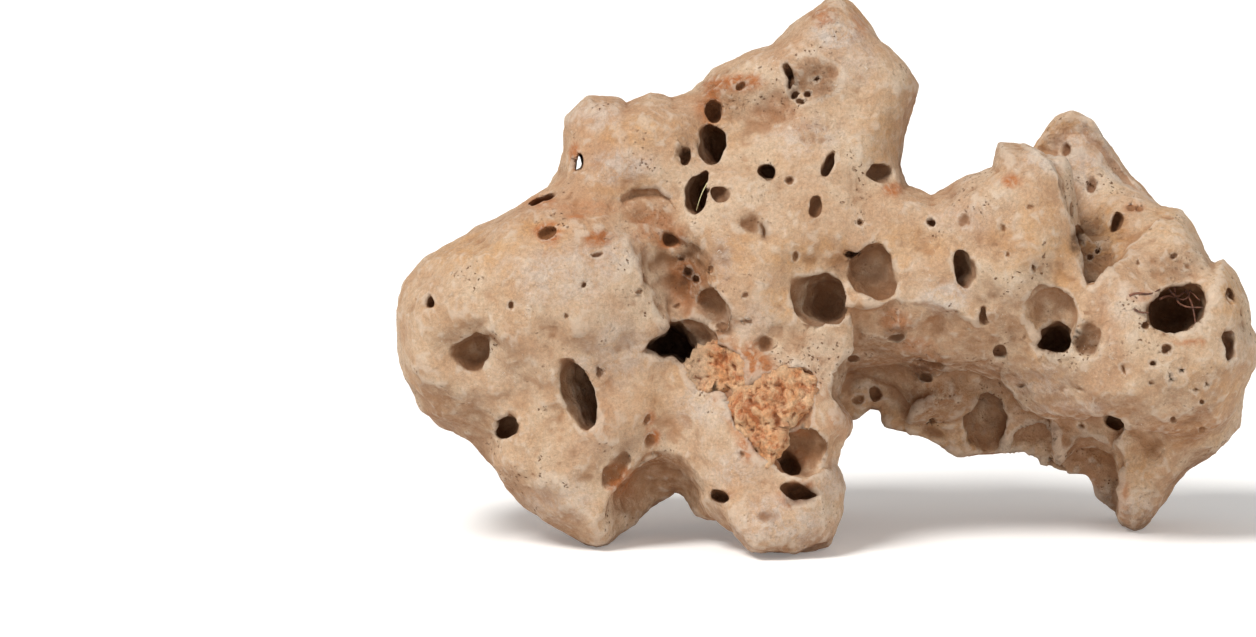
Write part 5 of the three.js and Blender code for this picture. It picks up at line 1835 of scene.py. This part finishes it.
    def _grain(self, g: Graph, holes: Socket) -> Socket:
        """The normal, bent by grain, crumbs and pinholes.

        Args:
            g: the material's nodes.
            holes: where the pinholes are.

        Returns:
            The normal.
        """
        normal = g.bump(g.noise(120, 6, 0.62, 0.5), 0.002)
        normal = g.bump(g.noise(460, 7, 0.75, 0.3), 0.0011, normal)
        crumb = g.times(g.noise(700, 6, 0.78), g.attribute("rough"))
        normal = g.bump(crumb, 0.001, normal)
        return g.bump(g.inverse(holes), 0.0006, normal)


@dataclass(frozen=True)
class RedEarthFinish:
    """Dry crumbly iron-red earth, paler on its knobs by a painted highlight and darker in its cracks and
    pinholes by painted shade.
    """

    earth: Shade = (224, 160, 110)
    # Paler earth, also laid as a painted highlight on the knobs.
    pale: Shade = (238, 196, 154)
    # Painted shade in cracks and pinholes.
    dark: Shade = (140, 76, 42)
    red: Shade = (192, 108, 62)
    tan: Shade = (216, 180, 146)

    def material(self) -> bpy.types.Material:
        """Build the material; it reads the earth's numbers for painted shade in its cracks, for its
        knobs' painted highlight and for its tan.

        Returns:
            The material.
        """
        g = Graph("red_earth")
        cloud = g.spread(g.noise(170, 5, 0.65, 0.5), 0.36, 0.64)
        base = g.mixed(cloud, srgb(*self.earth), srgb(*self.pale))
        veins = g.spread(g.noise(110, 5, 0.7, 1.0), 0.46, 0.62, 0.0, 0.8)
        base = g.mixed(veins, base, srgb(*self.red))
        base = g.mixed(g.attribute("tan"), base, srgb(*self.tan))
        base = g.shaded(base, g.spread(g.noise(900, 4, 0.7), 0.3, 0.7, 0.7, 1.15))
        # Painted shade in the cracks.
        cracks = g.spread(g.attribute("crease_shade"), 0.1, 0.8, 0.0, 0.85)
        base = g.mixed(cracks, base, srgb(*self.dark))
        # A painted highlight on the knobs.
        base = g.mixed(g.spread(g.attribute("edge"), 0.2, 0.8, 0.0, 0.4), base, srgb(*self.pale))
        # Painted shade in a few pinholes.
        few = g.spread(g.noise(140, 4, 0.6), 0.5, 0.62)
        holes = g.times(g.spread(g.cells(640, 0.6), 0.24, 0.1), few)
        base = g.mixed(g.times(holes, 0.6), base, srgb(*self.dark))
        g.link(base, g.shader.inputs["Base Color"])
        g.finish(rough=0.95, gloss=0.2)
        normal = g.bump(g.noise(420, 6, 0.75, 0.6), 0.0014)
        normal = g.bump(g.noise(1300, 5, 0.75), 0.0006, normal)
        normal = g.bump(g.inverse(holes), 0.0006, normal)
        g.link(normal, g.shader.inputs["Normal"])
        return g.material


@dataclass(frozen=True)
class StrandFinish:
    """A dry plant strand, streaked along its length."""

    name: str
    light: Shade
    dark: Shade

    def material(self) -> bpy.types.Material:
        """Build the material.

        Returns:
            The material.
        """
        g = Graph(self.name)
        base = g.mixed(g.spread(g.noise(900, 3), 0.35, 0.65), srgb(*self.light), srgb(*self.dark))
        g.link(base, g.shader.inputs["Base Color"])
        g.finish(rough=0.7, gloss=0.5)
        g.link(g.bump(g.noise(2500, 3), 0.00005), g.shader.inputs["Normal"])
        return g.material


@dataclass(frozen=True)
class FloorFinish:
    """A plain pale studio floor that glows a little, so that shadows on it stay light."""

    tone: Shade = (246, 245, 243)
    glow: float = 0.16

    def material(self) -> bpy.types.Material:
        """Build the material.

        Returns:
            The material.
        """
        g = Graph("studio_floor")
        g.shader.inputs["Base Color"].default_value = srgb(*self.tone)
        g.shader.inputs["Emission Color"].default_value = (1.0, 1.0, 1.0, 1.0)
        g.shader.inputs["Emission Strength"].default_value = self.glow
        g.finish(rough=0.9, gloss=0.1)
        return g.material


# Pieces


@dataclass
class Stone:
    """The stone's finished skin: edges, grain, pits and the tones of its patches."""

    node: bpy.types.Object
    shape: StoneField
    grain: Grain
    finish: LimestoneFinish
    cell: float = 1.0
    triangles: int = 198_000

    # A hole is small below this half size, and the mesh is finer so far around it.
    small: float = 4.2
    around: float = 2.5

    # The relief's layers: height and wavelength in millimetres.
    coarse: tuple[float, float] = (1.3, 17.0)
    medium: tuple[float, float] = (0.45, 7.5)
    ridged: tuple[float, float] = (0.24, 4.2)
    finest: tuple[float, float] = (0.14, 2.4)
    scallop: tuple[float, float] = (1.5, 11.0)
    crumble: tuple[float, float] = (1.0, 3.6)
    pock: tuple[float, float] = (1.2, 12.0)

    def build(self) -> bpy.types.Object:
        """Model and dress the stone.

        Returns:
            The finished piece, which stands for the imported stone.
        """
        piece = merged_copy(self.node, "holey_rock_skin")
        with_modifier(piece, "REMESH", mode="VOXEL", voxel_size=self.cell * MM)
        self._refine(piece.data)
        self._settle(piece.data)
        count = sum(len(face.vertices) - 2 for face in piece.data.polygons)
        if count > self.triangles:
            with_modifier(piece, "DECIMATE", ratio=self.triangles / count)
        self._keep_in_box(piece.data)
        shaded_smooth(piece.data)
        self._tone(piece.data)
        dress(piece.data, self.finish.material())
        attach(piece, "root")
        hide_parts("holey_rock")
        LOG.info("stone: %d points, %d faces", len(piece.data.vertices), len(piece.data.polygons))
        return piece

    def _refine(self, mesh: bpy.types.Mesh) -> None:
        """Cut the mesh finer around the small holes and pits.

        Args:
            mesh: the stone's mesh.
        """
        points = to_drawn(read_points(mesh))
        fine = np.zeros(len(points), bool)
        for row, landed in zip(self.shape.holes.values(), self.shape.bores):
            if min(row.half) < self.small:
                reach = max(row.half) + self.around
                fine |= ((points - landed.at) ** 2).sum(1) < reach * reach
        skin = bmesh.new()
        skin.from_mesh(mesh)
        skin.verts.ensure_lookup_table()
        marked = [edge for edge in skin.edges if all(fine[end.index] for end in edge.verts)]
        bmesh.ops.subdivide_edges(skin, edges=marked, cuts=1, use_grid_fill=True)
        bmesh.ops.triangulate(skin, faces=[face for face in skin.faces if len(face.verts) > 4])
        skin.to_mesh(mesh)
        skin.free()
        mesh.update()

    def _settle(self, mesh: bpy.types.Mesh) -> None:
        """Bring the skin to the field, then lay its relief on it.

        Args:
            mesh: the stone's mesh.
        """
        points = self.shape.dropped(to_drawn(read_points(mesh)))
        points = self.shape.settled(points, self.shape.bored, SETTLING_PASSES)
        _, slope = self.shape.sloped(points, self.shape.bored)
        outward = outward_of(slope)
        write_points(mesh, to_frame(points + outward * self._relief(points, outward)[:, None]))

    @staticmethod
    def _keep_in_box(mesh: bpy.types.Mesh) -> None:
        """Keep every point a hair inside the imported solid's box."""
        low, high = (np.array(corner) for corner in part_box("holey_rock"))
        write_points(mesh, np.clip(read_points(mesh), low + BOX_SPARE, high - BOX_SPARE))

    def _relief(self, p: np.ndarray, outward: np.ndarray) -> np.ndarray:
        """Height of the relief over the field's skin.

        Args:
            p: points on the skin, in drawn millimetres.
            outward: the way out of the skin at each.

        Returns:
            The height at each point, in millimetres.
        """
        grain = self.grain
        height = grain.layer(p, self.coarse) + grain.layer(p + 31, self.medium)
        ridged, ridges_apart = self.ridged
        height += ridged * (0.5 - 2 * np.abs(grain.smooth(p + 57, ridges_apart)))
        height += grain.layer(p + 77, self.finest)
        height += self._scalloped(p, outward)
        height += self._crumbled(p)
        pock, pocks_apart = self.pock
        scattered = np.clip((grain.smooth(p + 90, 34.0) + 0.1) / 0.4, 0, 1)
        pocks = np.clip((0.12 - grain.pocks(p + 19, pocks_apart)) / 0.05, 0, 1)
        height -= pock * scattered * pocks * np.clip(p[:, 1] / 6, 0.25, 1)
        depth = np.clip(-self.shape.mass(p) / 12, 0, 0.5)
        return height * (1 - depth)

    def _scalloped(self, p: np.ndarray, outward: np.ndarray) -> np.ndarray:
        """Dimples that lie side by side, deeper where the stone looks down.

        Args:
            p: points on the skin, in drawn millimetres.
            outward: the way out of the skin at each.

        Returns:
            Their height at each point, in millimetres.
        """
        deep, apart = self.scallop
        under = np.clip(0.45 - outward[:, 2], 0, 1)
        bent = p + 1.2 * self.grain.smooth(p, 8.0)[:, None]
        dimples = np.minimum(self.grain.pocks(bent, apart), 0.8) ** 2
        return deep * (0.3 + under) * (dimples - 0.3)

    def _crumbled(self, p: np.ndarray) -> np.ndarray:
        """Crumbs and small breaks, on the rough patches alone.

        Args:
            p: points on the skin, in drawn millimetres.

        Returns:
            Their height at each point, in millimetres.
        """
        deep, apart = self.crumble
        rough = patch_strength(self.shape, self.grain, p, Tone.ROUGH)
        crumbs = 0.7 * self.grain.smooth(p, apart) + 0.5 * self.grain.smooth(p + 11, 2.1)
        crumbs -= np.clip(0.36 - self.grain.pocks(p, apart), 0, 1) / 0.36
        return deep * rough * crumbs

    def _tone(self, mesh: bpy.types.Mesh) -> None:
        """Keep on each point the numbers that the finish reads.

        Args:
            mesh: the stone's mesh.
        """
        p = to_drawn(read_points(mesh))
        # How far under the mass each point lies; the finish paints shade in hollows by it.
        depth = np.maximum(-self.shape.mass(p), 0)
        store(mesh, "depth", depth)
        # How far each face looks down: faces that look down get painted shade.
        down = -read_normals(mesh)[:, 2]
        under = np.clip((down - 0.2) / 0.7 + 0.25 * self.grain.smooth(p, 9.0), 0, 1)
        for tone in Tone:
            share = patch_strength(self.shape, self.grain, p, tone)
            if tone is Tone.IRON:
                share = np.minimum(1.3 * share, 1)
            # Dirt grows stronger deeper in hollows, partly painted shade, and faces that look down take
            # it as painted shade.
            if tone is Tone.DIRT:
                share = np.maximum(share * (0.4 + 0.6 * np.clip(depth / 6, 0, 1)), 0.8 * under)
            # Faces that look down also take the darkest painted shade.
            if tone is Tone.DARK:
                share = np.maximum(share, 0.3 * under)
            store(mesh, tone.value, share)
        # Painted shade inside holes and pits, fainter deep down.
        sunk = -self.shape.carved(p)
        store(mesh, "pit", np.clip((sunk - 0.4) / 1.6, 0, 1) * np.clip((9 - sunk) / 5, 0.3, 1))
        # Paler edges: partly wear, partly a painted highlight.
        sharp = relief_of(mesh, 3)
        store(mesh, "edge", np.clip(sharp * 3.4, 0, 1))
        # Painted shade in creases.
        stands = 0.5 * sharp + 0.3 * relief_of(mesh, 12)
        store(mesh, "crease_shade", np.clip(-stands * 3.2, 0, 1))


@dataclass
class RedEarth:
    """One piece of red earth: its clods run together and crumbled."""

    node: bpy.types.Object
    shape: StoneField
    grain: Grain
    finish: RedEarthFinish
    cell: float = 0.55
    swell: float = 2.0
    sunk: float = 0.3
    rounding: float = 1.2

    # Left of this place in the front view the earth turns tan.
    tan_end: float = -41.0

    # The crumbs' layers: height and wavelength in millimetres.
    lumps: tuple[float, float] = (1.8, 6.5)
    facets: tuple[float, float] = (2.2, 4.6)
    crumble: tuple[float, float] = (0.7, 2.2)
    finest: tuple[float, float] = (0.3, 1.3)

    def build(self) -> bpy.types.Object:
        """Model and dress the piece.

        Returns:
            The finished piece, which stands for the packed earth.
        """
        name = self.node.name
        piece = merged_copy(self.node, f"{name}_skin")
        with_modifier(piece, "REMESH", mode="VOXEL", voxel_size=self.cell * MM)
        self._settle(piece.data, name)
        shaded_smooth(piece.data)
        self._tone(piece.data)
        dress(piece.data, self.finish.material())
        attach(piece, "root")
        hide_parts(name)
        LOG.info("%s: %d points", piece.name, len(piece.data.vertices))
        return piece

    def _settle(self, mesh: bpy.types.Mesh, name: str) -> None:
        """Fill the clods' hollow almost level with the stone, then crumble the fill.

        Args:
            mesh: the piece's mesh.
            name: the piece's node.
        """

        def skin(p: np.ndarray, drift: np.ndarray) -> np.ndarray:
            """The clods, swollen over their seat and cut off just over the stone's skin."""
            clods = self.shape.earth(p + drift, name) - self.swell - 0.9 * self.grain.smooth(p, 6.0)
            level = self.shape.mass(p) + self.sunk - 0.8 * drift[:, 0]
            return -soft_union(-clods, -level, self.rounding)

        points = self.shape.settled(to_drawn(read_points(mesh)), skin, SETTLING_PASSES)
        _, slope = self.shape.sloped(points, skin)
        write_points(mesh, to_frame(points + outward_of(slope) * self._relief(points)[:, None]))

    def _relief(self, p: np.ndarray) -> np.ndarray:
        """Height of the crumbs.

        Args:
            p: points on the fill, in drawn millimetres.

        Returns:
            The height at each point, in millimetres.
        """
        grain = self.grain
        facets, apart = self.facets
        bent = p + 0.8 * grain.smooth(p, 3.0)[:, None]
        height = grain.layer(p + 7, self.lumps)
        height += facets * (0.45 - grain.pocks(bent, apart))
        height += grain.layer(p, self.crumble) + grain.layer(p + 3, self.finest)
        return height

    def _tone(self, mesh: bpy.types.Mesh) -> None:
        """Keep on each point the numbers that the finish reads.

        Args:
            mesh: the piece's mesh.
        """
        # A painted highlight on the knobs and painted shade in the cracks.
        stands = relief_of(mesh, 6)
        store(mesh, "edge", np.clip(stands * 2.5, 0, 1))
        store(mesh, "crease_shade", np.clip(-stands * 2.5, 0, 1))
        p = to_drawn(read_points(mesh))
        fray = 2.0 * self.grain.smooth(p, 4.0)
        right = self.shape.view.place(p)[:, 0]
        store(mesh, "tan", np.clip((self.tan_end - right + fray) / 3.0, 0, 1))


@dataclass
class Strand:
    """Thin plant strands in one piece, each along a line of places in the front view."""

    name: str
    shape: StoneField
    lines: tuple[Line, ...]
    thick: float
    finish: StrandFinish
    taper: float = 0.55

    def build(self) -> bpy.types.Object:
        """Model and dress the strands.

        Returns:
            The finished piece.
        """
        curve = bpy.data.curves.new(self.name, "CURVE")
        curve.dimensions = "3D"
        curve.bevel_depth = self.thick * MM / 2
        curve.bevel_resolution = 2
        curve.use_fill_caps = True
        curve.resolution_u = 6
        for line in self.lines:
            self._lay(curve, line)
        holder = new_piece("strand_curve", curve)
        graph = bpy.context.evaluated_depsgraph_get()
        mesh = bpy.data.meshes.new_from_object(holder.evaluated_get(graph))
        bpy.data.objects.remove(holder)
        mesh.name = self.name
        piece = new_piece(self.name, mesh)
        shaded_smooth(mesh)
        dress(mesh, self.finish.material())
        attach(piece, "root")
        LOG.info("%s: %d strands", self.name, len(self.lines))
        return piece

    def _lay(self, curve: bpy.types.Curve, line: Line) -> None:
        """Lay one strand, thinner towards its end.

        Args:
            curve: the curve that holds the strands.
            line: the strand's places.
        """
        spline = curve.splines.new("BEZIER")
        spline.bezier_points.add(len(line) - 1)
        for index, (knot, place) in enumerate(zip(spline.bezier_points, line)):
            knot.co = to_frame(self._point(place)[None])[0]
            knot.handle_left_type = knot.handle_right_type = "AUTO"
            knot.radius = 1.0 - self.taper * index / len(line)

    def _point(self, place: tuple[float, float, float]) -> np.ndarray:
        """The point that shows at a place.

        Args:
            place: how far right and up it shows, and how far it stands off the stone, in mm.

        Returns:
            The point in drawn millimetres.
        """
        right, high, off = place
        far, way = self.shape.start(Side.FRONT, (right, high))
        return self.shape.walked(far[None], way[None], self.shape.carved)[0] - way * off


@dataclass(frozen=True)
class Lamp:
    """A soft far light that faces the stone.

    Its name, where it hangs, how wide it looks from the stone in degrees, its power and colour.
    """

    name: str
    place: tuple[float, float, float]
    spread: float
    power: float
    colour: tuple[float, float, float]

    def build(self) -> None:
        """Hang the light."""
        lamp = bpy.data.lights.new(self.name, "SUN")
        lamp.angle = math.radians(self.spread)
        lamp.energy = self.power
        lamp.color = self.colour
        hung = bpy.data.objects.new(self.name, lamp)
        bpy.context.scene.collection.objects.link(hung)
        hung.location = self.place
        hung.rotation_euler = (-Vector(self.place)).to_track_quat("-Z", "Y").to_euler()


@dataclass
class Studio:
    """The pale floor, the soft lights and the camera at the photograph's angle."""

    image: tuple[int, int] = (1256, 637)
    pixel: float = 0.35
    stone_middle: float = 826.0
    foot_line: float = 553.0
    distance: float = 2.0
    tilt: float = 8.0
    sensor: float = 36.0
    far_end: float = 60.0
    foot_depth: float = -0.05
    floor_size: float = 16.0
    floor_gap: float = 0.0001
    world_strength: float = 0.4
    key: Lamp = Lamp("key_light", (-0.60, -0.62, 1.20), 22.0, 2.95, (1.0, 0.985, 0.965))
    fill: Lamp = Lamp("fill_light", (1.1, -0.9, 0.5), 60.0, 0.5, (0.98, 0.99, 1.0))

    def build(self) -> None:
        """Set up the whole studio."""
        self._floor()
        self.key.build()
        self.fill.build()
        self._world()
        self._camera()
        LOG.info("studio: floor, two lights, camera")

    def _floor(self) -> None:
        """Lay the floor just under the feet."""
        grid = bmesh.new()
        bmesh.ops.create_grid(grid, x_segments=1, y_segments=1, size=self.floor_size / 2)
        bmesh.ops.translate(grid, verts=grid.verts, vec=(0, 0, -self.floor_gap))
        mesh = bpy.data.meshes.new("studio_floor")
        grid.to_mesh(mesh)
        grid.free()
        dress(mesh, FloorFinish().material())
        floor = new_piece("studio_floor", mesh)

    def _world(self) -> None:
        """Light everything from an even white surround."""
        world = bpy.data.worlds.new("studio_world")
        world.use_nodes = True
        background = world.node_tree.nodes["Background"]
        background.inputs["Color"].default_value = (1.0, 1.0, 1.0, 1.0)
        background.inputs["Strength"].default_value = self.world_strength
        bpy.context.scene.world = world

    def _camera(self) -> None:
        """Put the camera where the photograph's was: two metres off, looking down a little."""
        tilt = math.radians(self.tilt)
        up = Vector((0, math.sin(tilt), math.cos(tilt)))
        ahead = Vector((0, math.cos(tilt), -math.sin(tilt)))
        step = self.pixel * MM
        width, height = self.image
        target = Vector(((width / 2 - self.stone_middle) * step, self.foot_depth, 0))
        target += up * (self.foot_line - height / 2) * step - ahead * self.foot_depth
        target += Vector(PART_SHIFT) * MM
        lens = bpy.data.cameras.new("studio_camera")
        lens.sensor_width = self.sensor
        lens.lens = self.sensor * self.distance / (width * step)
        lens.clip_end = self.far_end
        camera = bpy.data.objects.new("studio_camera", lens)
        bpy.context.scene.collection.objects.link(camera)
        camera.location = target - ahead * self.distance
        camera.rotation_euler = ahead.to_track_quat("-Z", "Y").to_euler()
        bpy.context.scene.camera = camera


def main() -> None:
    """Build the stone, its earth and strands, and the studio."""
    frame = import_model()
    bpy.context.scene.view_settings.view_transform = "Standard"
    grain = Grain(GRAIN_SEED)
    shape = StoneField(CRISP, grain)
    LOG.info("field: %d hollows, %d holes and pits", len(shape.scoops), len(shape.bores))
    Stone(frame["nodes"]["holey_rock"], shape, grain, LimestoneFinish()).build()
    for name in EARTH:
        RedEarth(frame["nodes"][name], shape, grain, RedEarthFinish()).build()
    fibre = StrandFinish("dry_fibre", light=(232, 228, 180), dark=(190, 178, 128))
    Strand("dry_fibre", shape, DRY_FIBRE, FIBRE_THICK, fibre).build()
    roots = StrandFinish("rootlets", light=(126, 78, 56), dark=(72, 46, 34))
    Strand("rootlets", shape, ROOTLETS, ROOT_THICK, roots).build()
    Studio().build()


if __name__ == "__main__":
    logging.basicConfig(level=logging.INFO, format="%(message)s")
    main()
